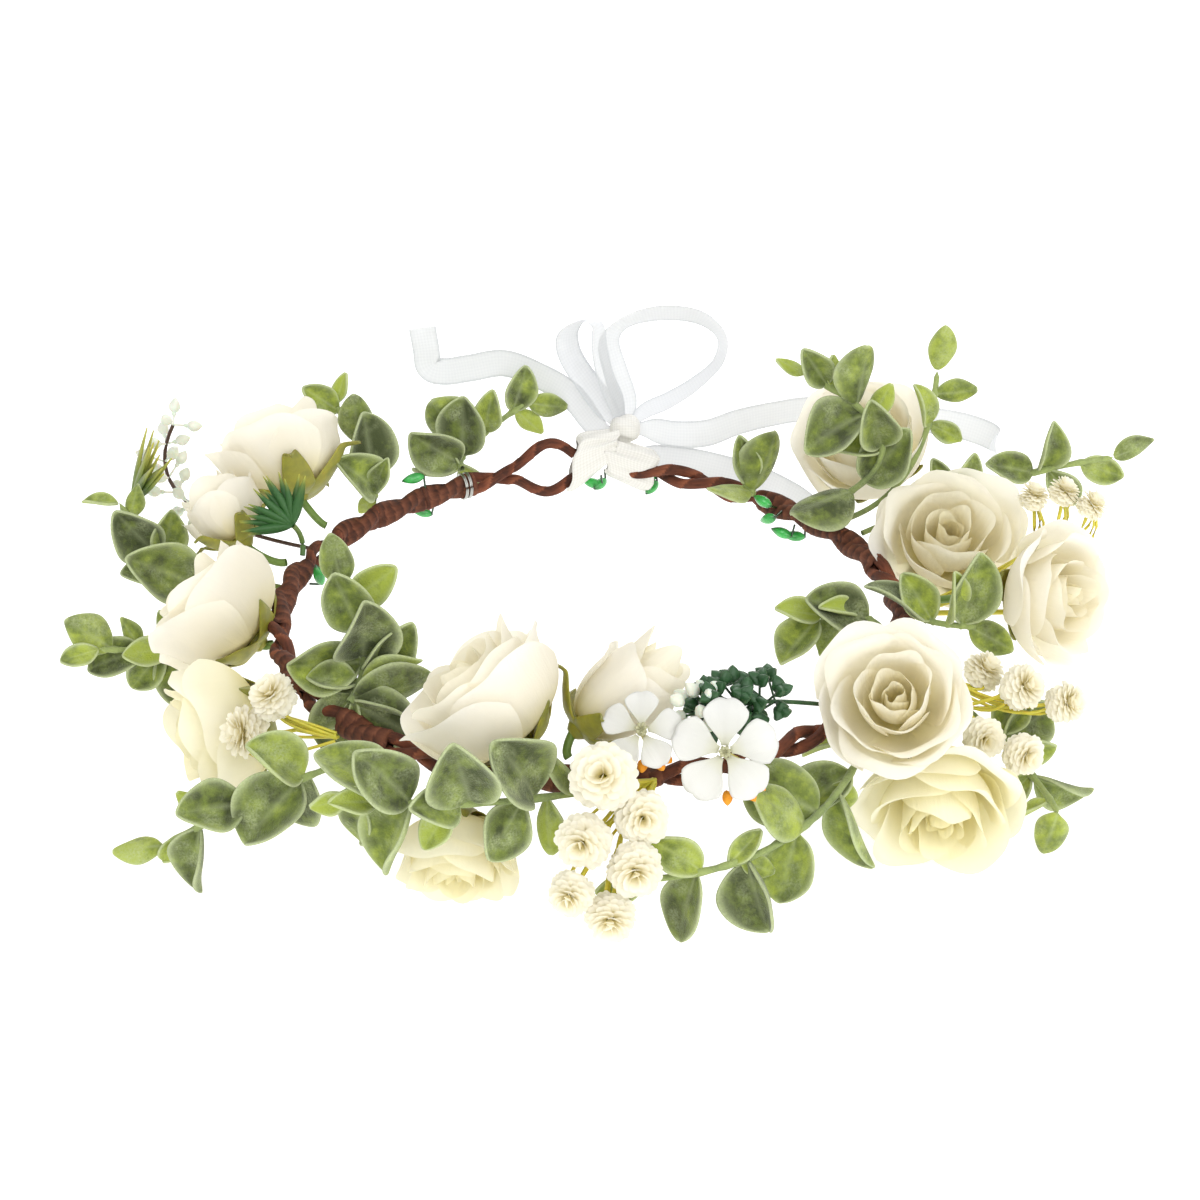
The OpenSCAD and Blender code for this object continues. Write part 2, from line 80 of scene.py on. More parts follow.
# %% [markdown]
# The maker's plan of the crown, in millimetres from the middle of the ring and in degrees. These are
# the sizes and places of the plain solids, so a dressed piece lands on its own solid. Only roses 3, 6
# and 7 sit up to 5 mm off theirs, and sprig 5 has a few leaves more.

# %% Plan of the ring and its roses
# radius of the ring's centre line, radius of a wrapped strand, full twists of the pair
RING_R, STRAND_R, TWISTS = 88.0, 1.7, 16
# where a strand starts, how far round it goes, and the length and half width of the eye at its end
START_A, SWEEP_A, EYE_A, EYE_HALF = 83.0, 350.0, 13.0, 8.0
# how far from the centre line a stem is bound on, and the gap between neighbouring pieces
BIND_R, GAP = 5.4, 0.3
# ring angle, distance out, height, facing azimuth, facing elevation, head radius, how it has opened
ROSES = [
    [146.5, 111, 22, 125, 45, 18, "half"], [161, 113, 14, 140, 45, 12, "bud"],
    [-177, 104.5, 4, 165, 35, 18.8, "half"], [-156, 109, -11, -160, -10, 18, "half"],
    [-107, 88, 21, 165, 50, 19.5, "half"], [-86.5, 78, 16, 25, 30, 13, "bud"],
    [-109, 103, -16, -95, -35, 14, "half"], [-42, 105, 13, -103, 47, 17.5, "open"],
    [-38, 116, -19, -95, -20, 19, "open"], [18, 111, 8, -92, 52, 20, "open"],
    [-2, 131, 9, -42, 18, 18, "open"], [42, 113, 19, -120, 58, 19, "half"],
]
CREAM_ROSES = (4, 7, 9)
# sideways and lengthwise stretch of a slender head
SLENDER = {6: (.84, 1.3)}
# how far the sepals of a rose curl away, and how long they have grown
CURLED, PLAIN_CURL = {1: 1.0, 2: .7, 5: .5, 6: .9}, .2
GROWN, PLAIN_GROWN = {1: 1.0, 2: 1.0, 6: 1.0}, .6

# %% Plan of the eucalyptus
# ring angle, side of the ring, middle of the stem, tip, and each leaf's share of the stem, direction
# seen from the front, lean, length and turn
SPRIGS = [
    [176, -40, [-117, 15, -17], [-142, 8, -15], [
        [0.93, 142, 0, 15, 10], [1, 195, 10, 11, -10], [0.76, 195, 10, 17, 15], [0.78, 125, -20, 10, 0],
        [0.6, 178, 25, 14, 0], [0.66, 232, 10, 15, -20], [0.55, 265, 20, 19, 25], [0.45, 150, -20, 14, 0]]],
    [170, -30, [-119, 34, -6], [-139, 41, 16], [
        [0.45, 142, 25, 23, 5], [0.68, 75, 0, 15, 25], [0.72, 122, 15, 19, -5], [1, 175, 0, 10, 30],
        [0.92, 75, -10, 10, 0], [0.6, 174, 20, 15, 20]]],
    [137, 70, [-68, 72, 14], [-78, 80, 31], [
        [0.95, 140, 10, 13, 10], [1, 70, -20, 9, 0], [0.7, 92, 10, 16, 0], [0.8, 20, 0, 8, 20],
        [0.35, 95, 0, 20, 10], [0.18, 122, 30, 18, 20], [0.12, 75, 10, 12, -30], [0.08, 235, -20, 9, 0]]],
    [116, 60, [-37, 92, 12], [-20, 98, 24], [
        [0.14, 140, 15, 19, 0], [0.28, 88, -5, 19, 5], [0.12, 290, -30, 13, 0], [0.05, 195, -30, 18, 15],
        [0.5, 128, 10, 19, -10], [0.66, 80, 10, 14, 0], [0.9, 72, 0, 15, 35], [1, -10, 0, 12, 25],
        [0.92, -42, 0, 11, 0]]],
    [-137, 110, [-60, -47, 14], [-66, -34, 27], [
        [0.22, 172, 0, 13, 30], [0.24, 12, -5, 16, 60], [0.32, 42, -10, 18, 45], [0.42, 178, 10, 19, 5],
        [0.45, 85, 25, 21, 5], [0.68, 110, 0, 17, 10], [0.9, 37, 0, 15, 25], [1, 100, 0, 14, 0],
        [0.04, 8, -10, 21, 52], [0.02, -38, 10, 21, 30], [0.06, -68, -10, 19, 20], [0.03, -20, 25, 20, 10],
        [0.1, 240, 10, 18, 20], [0.16, 215, 0, 16, 30]]],
    [-128, -20, [-81, -84, -6], [-112, -74, -29], [
        [0.34, 140, 10, 17, 20], [0.36, 222, 25, 21, 5], [0.32, 240, -20, 21, -10], [0.62, 178, 20, 17, 0],
        [0.8, 135, -10, 10, 10], [1, 186, 0, 13, 20], [0.84, 265, 10, 18, 30], [0.94, 240, -10, 9, 0]]],
    [-86, 10, [-30, -112, 8], [-58, -109, 8], [
        [0.1, 125, 0, 16, 60], [0.26, 112, 15, 21, 55], [0.48, 100, 20, 21, -5], [0.22, 272, 15, 14, 60],
        [0.3, 238, 25, 16, 10], [0.52, 155, 40, 15, 0], [0.56, 240, 10, 13, 0], [0.72, 124, 10, 19, 30],
        [0.72, 246, 10, 19, 35], [0.86, 165, 25, 12, 0], [1, 196, 0, 10, 0], [0.84, 145, -25, 20, 50],
        [0.95, 262, -15, 16, 20]]],
    [-36, -30, [52, -98, -9], [14, -112, -14], [
        [0.06, 195, 0, 17, 60], [0.2, 215, 15, 20, 20], [0.3, 300, 30, 20, 50], [0.46, 135, 20, 18, 35],
        [0.4, 155, -15, 21, 5], [0.5, 255, 20, 18, 5], [0.7, 288, 15, 19, 40], [0.76, 40, -25, 11, 0],
        [0.72, 330, -15, 10, 0], [0.84, 142, 0, 15, 20], [0.86, 256, 10, 18, 45], [1, 192, 10, 12, 0],
        [0.24, 262, -10, 14, 10]]],
    [-15, -40, [113, -38, -19], [124, -66, -24], [
        [0.55, -10, -20, 14, 20], [0.74, -20, 0, 17, 40], [0.9, 215, 0, 9, 60], [1, 258, 0, 13, 0],
        [0.5, 18, -35, 18, 0], [0.45, 48, -30, 15, 0], [0.72, 228, 10, 14, 10]]],
    [29, 20, [124, 60, 14], [157, 58, 23], [
        [0.32, 65, 0, 14, 35], [0.3, 112, -10, 12, 0], [0.64, 160, 20, 15, 0], [0.66, 72, 0, 15, 45],
        [0.7, -50, 0, 15, 20], [0.84, -15, 10, 13, 10], [1, 25, 0, 12, 20]]],
    [38, 100, [86, 47, 32], [64, 60, 49], [
        [1, 150, 0, 9, 10], [0.92, 122, 10, 14, 0], [0.78, 83, 0, 18, 50], [0.9, 88, -25, 9, 0],
        [0.68, 62, -10, 11, 0], [0.72, 200, 20, 20, 45], [0.48, 105, 15, 17, 0], [0.46, 176, 0, 13, 20],
        [0.22, 52, 0, 20, 5], [0.16, 190, 25, 20, 45]]],
    [33, 50, [96, 57, 20], [106, 82, 41], [
        [0.74, 105, 10, 14, 30], [1, 78, 0, 13, 20], [0.9, 5, 0, 12, 35], [0.76, -28, 0, 11, 10]]],
    [-10, 160, [75, -9, 5], [64, -8, 4], [
        [0.3, 160, 0, 18, 5], [0.5, 150, 20, 12, 50], [0.95, 165, 10, 13, 0], [1, 228, 20, 16, 10],
        [0.7, 238, 10, 13, 50]]],
    [-6, 40, [98, -12, 4], [108, -12, 3], [
        [0.2, 142, 0, 19, 50], [0.35, 125, -20, 15, 0], [0.6, 82, 0, 15, 60], [0.8, 75, -20, 20, 0],
        [0.9, -25, 15, 13, 10]]],
    [54, 140, [50, 68, 7], [47, 68, 10], [
        [0.5, 68, 0, 19, 50], [0.6, 160, 30, 16, 45], [0.9, 95, 0, 15, 30]]],
]

# %% Plan of the fillers
# ring angle, side, where the stems part, bow of each stem, and each head's centre and radius
STRAIGHT_BOW = [0, 0, -.8]
POMPON_SPRAYS = [
    [-135, -10, [-76, -63, 0], STRAIGHT_BOW, [[-91, -63, -1, 6.5], [-83, -62, 10, 6]]],
    [-80, 20, [9, -99, 3], STRAIGHT_BOW, [
        [3, -112, 16, 8], [13, -114, 5, 6.5], [-2, -119, 1, 6.5], [11, -121, -6, 6.5],
        [-5, -124, -11, 5.5], [5, -124, -18, 6]]],
    [-18, 0, [99, -38, -8], STRAIGHT_BOW, [
        [108, -31, 0, 5.5], [117, -42, 1, 6], [129, -42, -4, 5.5], [105, -55, -8, 5.5],
        [116, -57, -12, 5.5]]],
    [4, -50, [119, 10, -4], [5, 8, -6], [[130, 36, 21, 4.5], [139, 37, 22, 4.5], [147, 34, 19, 4.5]]],
]
# ring angle, side, centre, azimuth, elevation, radius
BLOSSOMS = [[-66, 40, [33, -101, 16], -90, 30, 13.2], [-79, 60, [12.7, -96, 19], -95, 45, 9.7]]
# ring angle, side, middle of the stem, tip, rows of buds, length of an arm, whether it is the leafy kind
BUD_SPRIGS = [[-44, 100, [41, -80, 18], [27, -89, 20], 13, 6.4, True],
              [154, -10, [-123, 60, 8], [-125, 62, 32], 7, 5.4, False]]
# ring angle, side, middle of the stem, tip, radius, facing azimuth, half of the fan's angle, needles,
# half width of a needle, and how late along a needle its pale tip begins
PALM_FANS = [[166, -60, [-129, 46, -1], [-137, 50, 13], 22, -150, 30, 12, 1.5, 3],
             [164, 100, [-84, 26, 12], [-86, 24, 17], 16, -85, 62, 17, 1.15, 7]]
# ring angle, side of the ring, turn of the bead
PIPS = [[127, 70, 20], [125, -60, -40], [89.5, -80, -25], [88, -85, 60], [79, -50, 20], [77.5, -75, 70],
        [50, 150, 10], [48, -170, -30], [46, -120, 15], [44, -100, 50], [-19, 110, 30], [166, 170, 80]]

# %% Plan of the ribbon
# points along each length of ribbon, with the direction of the ribbon's width
KNOT = [11, 93, 17]
LOOP_LEFT = [
    [9, 94.5, 18, 0.6, 0.3, 0.7], [5, 96, 23, 0.6, 0.5, 0.6], [-1, 98, 31, 0.7, 0.6, 0.4],
    [-6, 99, 39, 0.8, 0.6, 0.2], [-7, 99, 46, 0.8, 0.6, 0], [-3, 98, 51, 0.6, 0.8, -0.2],
    [2, 97, 50, 0.5, 0.8, -0.3], [3, 96, 42, 0.5, 0.8, 0], [5, 96, 33, 0.5, 0.8, 0.2],
    [8, 96, 25, 0.5, 0.8, 0.3], [10, 94.5, 18, 0.5, 0.8, 0.3]]
LOOP_RIGHT = [
    [11, 95, 18, 0.9, 0.2, 0.2], [11, 99, 24, 0.9, 0.4, 0.1], [8, 102, 33, 0.9, 0.5, 0],
    [6, 104, 42, 0.8, 0.6, -0.2], [11, 105, 48, 0.3, 0.7, -0.6], [22, 105, 51, 0, 0.6, -0.8],
    [34, 104, 50, -0.2, 0.6, -0.7],
    [41, 103, 44, -0.3, 0.9, -0.5], [40, 102, 36, -0.3, 0.9, -0.2], [33, 101, 29, -0.2, 0.95, 0.1],
    [25, 100, 24, -0.1, 0.95, 0.2], [18, 99, 21, 0, 0.95, 0.3], [13, 95, 18, 0, 0.9, 0.4]]
TAIL_LEFT = [
    [7.5, 94, 15, 0.3, 0, 0.9], [2, 95, 17, 0.3, 0.1, 0.9], [-6, 101, 25, 0.4, 0.1, 0.9],
    [-16, 105, 30, 0.2, 0.1, 1], [-27, 108, 33, 0, 0.2, 1], [-38, 109, 31, 0, 0.3, 1],
    [-46, 111, 29, 0.2, 0.3, 1],
    [-51, 112, 30, 0.9, 0.1, 0.9], [-52, 112.5, 36, 1, 0, 0.1], [-53, 113, 43, 1, 0, 0]]
TAIL_RIGHT = [
    [14.5, 94, 16.5, 0, 0.5, 0.9], [19, 95, 16, 0, 0.5, 0.9], [27, 97, 13.5, 0, 0.6, 0.8],
    [37, 99, 13, 0, 0.3, 0.9], [47, 103, 15, 0, 0.1, 1], [58, 107, 16, 0, 0, 1], [70, 111, 16, 0, 0, 1],
    [88, 114, 14, 0, 0, 1], [106, 115, 11, 0, 0.2, 1], [121, 113, 9, 0, 0.4, 0.9],
    [130, 107, 7, 0, 0.3, 0.9], [128, 100, 4, 0, 0.2, 0.9]]
TAIL_UNDER = [
    [13.5, 94, 8, 0, 0.1, 1], [18.5, 96.5, 6, 0, 0.1, 1], [30, 98, 4, 0, 0.2, 1], [43, 98, 1, 0, 0.2, 1],
    [55, 96, -2, 0, 0.1, 1], [66, 91, -6, 0, 0, 1], [75, 86, -12, 0, 0, 1]]

# %% [markdown]
# Directions come first. Every piece is placed by a few unit vectors, worked out for whole lists of
# points at once.

# %% Vectors
def unit(v):
    """Each vector divided by its length."""
    v = np.asarray(v, float)
    return v / np.maximum(np.linalg.norm(v, axis=-1, keepdims=True), 1e-12)


def heading(az, el):
    """The direction at an azimuth round +Z and an elevation above level, in degrees."""
    az, el = math.radians(az), math.radians(el)
    return np.array([math.cos(el) * math.cos(az), math.cos(el) * math.sin(az), math.sin(el)])


def across(d):
    """A direction square to d, level unless d is nearly upright."""
    up = np.where(np.abs(d[..., 2:3]) > 0.95, [0.0, 1.0, 0.0], [0.0, 0.0, 1.0])
    return unit(np.cross(up, d))


def ring_at(a):
    """The ring's centre line: a circle that rises a little towards the bow."""
    a = np.radians(a)
    lift = 1.5 + 1.5 * np.sin(a) + 4 * np.maximum(0, np.sin(a)) ** 12
    return np.stack([RING_R * np.cos(a), RING_R * np.sin(a), lift], -1)


def ring_side(a, side):
    """A direction square to the ring: side 0 points outwards and side 90 up."""
    a, side = np.radians(a), np.radians(side)
    level = np.stack([np.cos(a), np.sin(a), 0 * a], -1)
    return np.cos(side)[..., None] * level + np.sin(side)[..., None] * np.array([0.0, 0.0, 1.0])


def bind_at(a, side):
    """Where a stem is bound on: just outside the tape, on the given side of the ring."""
    return ring_at(float(a)) + BIND_R * ring_side(np.float64(a), np.float64(side))


def facing(way):
    """Columns that turn +X, +Y, +Z to the across, up and way directions."""
    u = across(way)
    return np.stack([u, np.cross(way, u), way], -1)


def run_along(path):
    """The length of the path from its start to each of its points."""
    return np.concatenate([[0], np.cumsum(np.linalg.norm(np.diff(path, axis=0), axis=1))])


# %% [markdown]
# Every surface here is a grid of points, rows by columns. Many grids of one size, such as the petals
# of one rose, are worked out together as one array and become one mesh. Values that the materials need,
# such as how near a point is to a leaf's rim, are kept on the points as named attributes.

# %% Grids to meshes
def cells(count, rows, cols, wraps):
    """The four corners of each cell of each grid, turned so that a tube's faces look outwards."""
    index = np.arange(count * rows * cols).reshape(count, rows, cols)
    here, there = index[:, :-1], index[:, 1:]
    if wraps:
        return np.stack([here, np.roll(here, -1, 2), np.roll(there, -1, 2), there], -1).reshape(-1, 4)
    return np.stack([here[..., :-1], here[..., 1:], there[..., 1:], there[..., :-1]], -1).reshape(-1, 4)


def piece(name, grids, materials, weld=0.0):
    """grids is a list of dicts: at, points as (count, rows, cols, 3) in mm; wraps, for tubes; paint, the
    number of its material; uv, as (count, rows, cols, 2) in mm; any other key is an attribute."""
    points, quads, paints, start = [], [], [], 0
    for g in grids:
        k, n, m = g["at"].shape[:3]
        points.append(g["at"].reshape(-1, 3))
        q = cells(k, n, m, g.get("wraps", False)) + start
        quads.append(q)
        paints.append(np.full(len(q), g.get("paint", 0), np.int32))
        start += k * n * m
    points, quads, paints = np.concatenate(points), np.concatenate(quads), np.concatenate(paints)
    mesh = bpy.data.meshes.new(name)
    mesh.vertices.add(len(points))
    mesh.vertices.foreach_set("co", (points * MM).astype(np.float32).ravel())
    mesh.loops.add(quads.size)
    mesh.loops.foreach_set("vertex_index", quads.astype(np.int32).ravel())
    mesh.polygons.add(len(quads))
    mesh.polygons.foreach_set("loop_start", np.arange(0, quads.size, 4, dtype=np.int32))
    mesh.polygons.foreach_set("material_index", paints)
    mesh.update(calc_edges=True)
    mesh.polygons.foreach_set("use_smooth", np.ones(len(quads), bool))
    marks = sorted({key for g in grids for key in g} - {"at", "wraps", "paint", "uv"})
    for key in marks:
        values = [np.broadcast_to(g.get(key, 0.0), g["at"].shape[:3]).reshape(-1) for g in grids]
        attribute = mesh.attributes.new(key, "FLOAT", "POINT")
        attribute.data.foreach_set("value", np.concatenate(values).astype(np.float32))
    uv = [g.get("uv", np.zeros(g["at"].shape[:3] + (2,))).reshape(-1, 2) for g in grids]
    layer = mesh.uv_layers.new(name="UVMap")
    layer.data.foreach_set("uv", np.concatenate(uv)[quads.ravel()].astype(np.float32).ravel())
    for m in materials:
        mesh.materials.append(m)
    if weld:
        work = bmesh.new()
        work.from_mesh(mesh)
        bmesh.ops.remove_doubles(work, verts=work.verts, dist=weld * MM)
        work.to_mesh(mesh)
        work.free()
    mesh.validate()
    obj = bpy.data.objects.new(name, mesh)
    bpy.context.scene.collection.objects.link(obj)
    return obj


def thicken(obj, thickness, rounds=0):
    """A cloth or foam piece gets its real thickness, and rounds of subdivision soften its cut rim."""
    wall = obj.modifiers.new("thickness", "SOLIDIFY")
    wall.thickness = thickness * MM
    wall.offset = 0.0
    if rounds:
        soft = obj.modifiers.new("rounded_rim", "SUBSURF")
        soft.levels = soft.render_levels = rounds
    return obj


def dress(obj, *nodes, slot=None):
    """The finished piece takes the place of its plain solids and moves with their body."""
    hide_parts(*nodes)
    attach(obj, frame["nodes"][nodes[0]]["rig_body"])
    return obj


# %% [markdown]
# A tube is a circle carried along a path. The circle's plane stays square to the path, and its radius
# may change from row to row and from column to column, which gives wraps, knots and closed tips. A
# turned form is a profile carried round an axis, as on a lathe.

# %% Tubes and turned forms
def tube(path, radius, sides=10, closed_tips=False):
    """point = path + radius (cos turn across + sin turn up), for every row of the path and every turn."""
    way = unit(np.gradient(path, axis=0))
    u = across(way)
    v = np.cross(way, u)
    turn = np.arange(sides) * 2 * np.pi / sides
    r = np.broadcast_to(np.asarray(radius, float), (len(path), sides)).copy()
    if closed_tips:
        r[0] = r[-1] = 0.02
    ring = np.cos(turn)[None, :, None] * u[:, None] + np.sin(turn)[None, :, None] * v[:, None]
    at = path[:, None] + r[..., None] * ring
    uv = np.stack(np.broadcast_arrays(turn[None] / (2 * np.pi) * 10, run_along(path)[:, None]), -1)
    return {"at": at[None], "wraps": True, "uv": uv[None]}


def straight(p, q, rows=6):
    """A line of points from p to q."""
    return np.asarray(p, float) + (np.asarray(q, float) - p) * np.linspace(0, 1, rows)[:, None]


def bowed(p, m, q, rows):
    """A curve from p through m at half way to q."""
    t = np.linspace(0, 1, rows)[:, None]
    p, m, q = np.asarray(p), np.asarray(m), np.asarray(q)
    return p * (1 - t) * (1 - 2 * t) + m * 4 * t * (1 - t) + q * t * (2 * t - 1)


def turned_form(profile, sides=20):
    """A profile of (radius, height) rows carried round +Z."""
    profile = np.asarray(profile, float)
    turn = np.arange(sides) * 2 * np.pi / sides
    at = np.stack([profile[:, :1] * np.cos(turn), profile[:, :1] * np.sin(turn),
                   np.broadcast_to(profile[:, 1:], (len(profile), sides))], -1)
    return at[None]


# %% [markdown]
# ## Materials
# One helper adds a shader node with its settings and links. Colours are written as the hex numbers of
# a paint chart, and one function turns them to the linear light that the renderer works in.

# %% Node helpers
def linear(hex_colour):
    c = np.array([int(hex_colour[i:i + 2], 16) for i in (1, 3, 5)]) / 255
    c = np.where(c <= 0.04045, c / 12.92, ((c + 0.055) / 1.055) ** 2.4)
    return (*c, 1.0)


def node(tree, kind, settings=None, **inputs):
    """Adds a node. settings are its properties, inputs are values or output sockets, by input name or,
    after an underscore, by input number."""
    n = tree.nodes.new(kind)
    for key, value in (settings or {}).items():
        setattr(n, key, value)
    for key, value in inputs.items():
        numbered = key[0] == "_" and key[1:].isdigit()
        socket = n.inputs[int(key[1:]) if numbered else key.replace("_", " ")]
        if isinstance(value, bpy.types.NodeSocket):
            tree.links.new(value, socket)
        else:
            socket.default_value = value
    return n


def blank(name, **values):
    """A Principled material with its plain values set on the shader's own sockets."""
    m = bpy.data.materials.new(name)
    m.use_nodes = True
    shader = m.node_tree.nodes["Principled BSDF"]
    for key, value in values.items():
        shader.inputs[key.replace("_", " ")].default_value = value
    return m, m.node_tree, shader


def mark(tree, name):
    """The value of a named attribute of the mesh."""
    return node(tree, "ShaderNodeAttribute", {"attribute_name": name}).outputs["Fac"]


def ramp(tree, value, *stops):
    """Colours blended along a value: stops are (position, hex)."""
    n = node(tree, "ShaderNodeValToRGB", Fac=value)
    band = n.color_ramp
    while len(band.elements) < len(stops):
        band.elements.new(0.5)
    for element, (at, colour) in zip(band.elements, sorted(stops)):
        element.position = at
        element.color = linear(colour)
    return n.outputs["Color"]


def blend_colours(tree, share, a, b, how="MIX"):
    n = node(tree, "ShaderNodeMix", {"data_type": "RGBA", "blend_type": how}, _0=share, _6=a, _7=b)
    return n.outputs[2]


def maths(tree, how, a, b=0.0):
    return node(tree, "ShaderNodeMath", {"operation": how}, _0=a, _1=b).outputs[0]


def noise(tree, place, size_mm, detail=3.0, rough=0.5):
    """Noise whose blobs are about size_mm across: its scale is one over the size in the pattern's unit."""
    return node(tree, "ShaderNodeTexNoise", Vector=place, Scale=1 / size_mm, Detail=detail,
                Roughness=rough).outputs["Fac"]


def in_mm(tree):
    """The point's place on the object, in millimetres."""
    place = node(tree, "ShaderNodeTexCoord").outputs["Object"]
    return node(tree, "ShaderNodeVectorMath", {"operation": "SCALE"}, _0=place, Scale=1000.0).outputs[0]


def on_cloth(tree, x=1.0, y=1.0):
    """The point's place on the piece's own flat cut, in millimetres, stretched by x and y."""
    uv = node(tree, "ShaderNodeUVMap", {"uv_map": "UVMap"}).outputs[0]
    return node(tree, "ShaderNodeMapping", Vector=uv, Scale=(x, y, 1)).outputs[0]


def bump(tree, height, depth_mm, strength=1.0):
    return node(tree, "ShaderNodeBump", Height=height, Distance=depth_mm * MM, Strength=strength).outputs[0]


# %% [markdown]
# The petals are polyester silk: a fine plain weave, cut, dyed and pressed hot into a cup. It is so
# thin that light comes through it and comes out warmer, so a share of the surface is translucent. The
# colour is ivory at the lip and pale yellow-green towards the heart of the flower and on the innermost
# layer; this is partly the dyed colour and partly painted warm shade of the deep parts of the flower. A
# cloth thread is finer than anyone would see, so the weave is drawn as a soft grain 0.35 mm across.

# %% Pressed silk
def pressed_silk(name, lip, body, heart, through, thin=0.4):
    m, tree, shader = blank(name, Roughness=0.6, Sheen_Weight=0.1, Sheen_Roughness=0.4,
                            Specular_IOR_Level=0.25)
    reach = mark(tree, "reach")
    wander = noise(tree, on_cloth(tree, 0.5, 0.25), 4.0)
    reach = maths(tree, "ADD", reach, maths(tree, "MULTIPLY", maths(tree, "SUBTRACT", wander, 0.5), 0.22))
    # painted shade: the heart colour at the base of each petal stands partly for the dyed colour and partly
    # for the warm shade deep in the flower
    dye_and_shade = ramp(tree, reach, (0.1, heart), (0.5, body), (0.85, lip))
    # painted shade: the innermost layer is blended towards the heart colour, partly dyed colour and partly
    # the warm shade among the inner petals
    core = blend_colours(tree, maths(tree, "MULTIPLY", mark(tree, "core"), 0.4), dye_and_shade, linear(heart))
    tree.links.new(core, shader.inputs["Base Color"])
    creases = noise(tree, on_cloth(tree, 1.0, 0.12), 1.6, 2.0)
    weave = noise(tree, on_cloth(tree), 0.35, 1.0)
    height = maths(tree, "ADD", creases, maths(tree, "MULTIPLY", weave, 0.12))
    relief = bump(tree, height, 0.5, 0.5)
    tree.links.new(relief, shader.inputs["Normal"])
    glow = node(tree, "ShaderNodeBsdfTranslucent", Color=blend_colours(tree, 0.5, core, linear(through)),
                Normal=relief).outputs[0]
    mixed = node(tree, "ShaderNodeMixShader", _0=thin, _1=shader.outputs[0], _2=glow)
    tree.links.new(mixed.outputs[0], tree.nodes["Material Output"].inputs["Surface"])
    return m


SILK = pressed_silk("ivory_polyester_silk", "#f9f7f2", "#f6f3e8", "#f0e8b4", "#fdf5d8", 0.48)
CREAM_SILK = pressed_silk("cream_polyester_silk", "#faf8ec", "#f7f4de", "#ece394", "#fbf3c4", 0.48)
BLOSSOM_SILK = pressed_silk("white_polyester_silk", "#e9e9e6", "#e0e0da", "#cfceaa", "#efeee0", 0.3)

# %% [markdown]
# The eucalyptus leaves are soft moulded polyethylene, sprayed with glue and dusted with nylon flock. The
# flock catches light at every rim, and that pale velvet edge is painted into the colour as a painted
# sheen, together with real pale flock dust in drifts and on the ribs. Young leaves at the tips are a
# fresh yellow-green and old ones a grey green with darker patches.

# %% Flocked leaf
def flocked(name, pale, fresh, old, dark):
    m, tree, shader = blank(name, Roughness=0.9, Sheen_Weight=0.35, Sheen_Roughness=0.4,
                            Sheen_Tint=linear("#eef2e2"), Specular_IOR_Level=0.15)
    place = in_mm(tree)
    patches = noise(tree, place, 6.0, 4.0, 0.65)
    young = maths(tree, "ADD", mark(tree, "young"),
                  maths(tree, "MULTIPLY", maths(tree, "SUBTRACT", patches, 0.5), 2.0))
    green = ramp(tree, young, (0.0, dark), (0.42, old), (0.85, fresh))
    dust_and_sheen_speckle = noise(tree, place, 0.6, 3.0, 0.7)
    # painted sheen: the pale colour is laid along each rim, where the flock catches light
    rim = maths(tree, "MULTIPLY", mark(tree, "rim"), maths(tree, "ADD", dust_and_sheen_speckle, 0.45))
    drift = noise(tree, place, 8.0, 2.0)
    drift = node(tree, "ShaderNodeMapRange", Value=drift, From_Min=0.45, From_Max=0.7, To_Max=0.75).outputs[0]
    grain = node(tree, "ShaderNodeMapRange", Value=dust_and_sheen_speckle, From_Min=0.35, From_Max=0.75,
                 To_Min=0.15).outputs[0]
    # the pale colour: real flock dust in drifts and on the ribs, and painted sheen along the rim
    dust_and_rim_sheen = maths(tree, "MAXIMUM", rim, maths(tree, "MULTIPLY", drift, grain))
    dust_and_rim_sheen = maths(tree, "MAXIMUM", dust_and_rim_sheen, maths(tree, "MULTIPLY", mark(tree, "rib"), 0.4))
    colour = blend_colours(tree, dust_and_rim_sheen, green, linear(pale))
    tree.links.new(colour, shader.inputs["Base Color"])
    pile = noise(tree, place, 0.45, 2.0)
    tree.links.new(bump(tree, maths(tree, "ADD", pile, maths(tree, "MULTIPLY", patches, 0.6)), 0.5, 0.6),
                   shader.inputs["Normal"])
    return m


LEAF = flocked("flocked_polyethylene_leaf", "#bcc699", "#a2b04a", "#72803e", "#474f31")
STEM = flocked("flocked_polyethylene_stem", "#b5bf94", "#90a054", "#6f8044", "#4e5a34")

# %% [markdown]
# The calyxes and the wires of the small fillers are glossy moulded polyethylene, dyed through. The pips
# are lacquered, so a thin clear coat gives them their sharp highlights.

# %% Moulded plastic
def moulded(name, colour, shade, roughness=0.45, coat=0.0, size=3.0, glow=0.0):
    m, tree, shader = blank(name, Roughness=roughness, Coat_Weight=coat, Coat_Roughness=0.08,
                            Subsurface_Weight=glow, Subsurface_Scale=0.002)
    place = in_mm(tree)
    mottle = node(tree, "ShaderNodeMapRange", Value=noise(tree, place, size), From_Min=0.35,
                  From_Max=0.7).outputs[0]
    mottle = maths(tree, "ADD", maths(tree, "MULTIPLY", mottle, 0.6), mark(tree, "tip"))
    tree.links.new(blend_colours(tree, mottle, linear(colour), linear(shade)), shader.inputs["Base Color"])
    tree.links.new(bump(tree, noise(tree, place, 0.8), 0.2, 0.5), shader.inputs["Normal"])
    return m


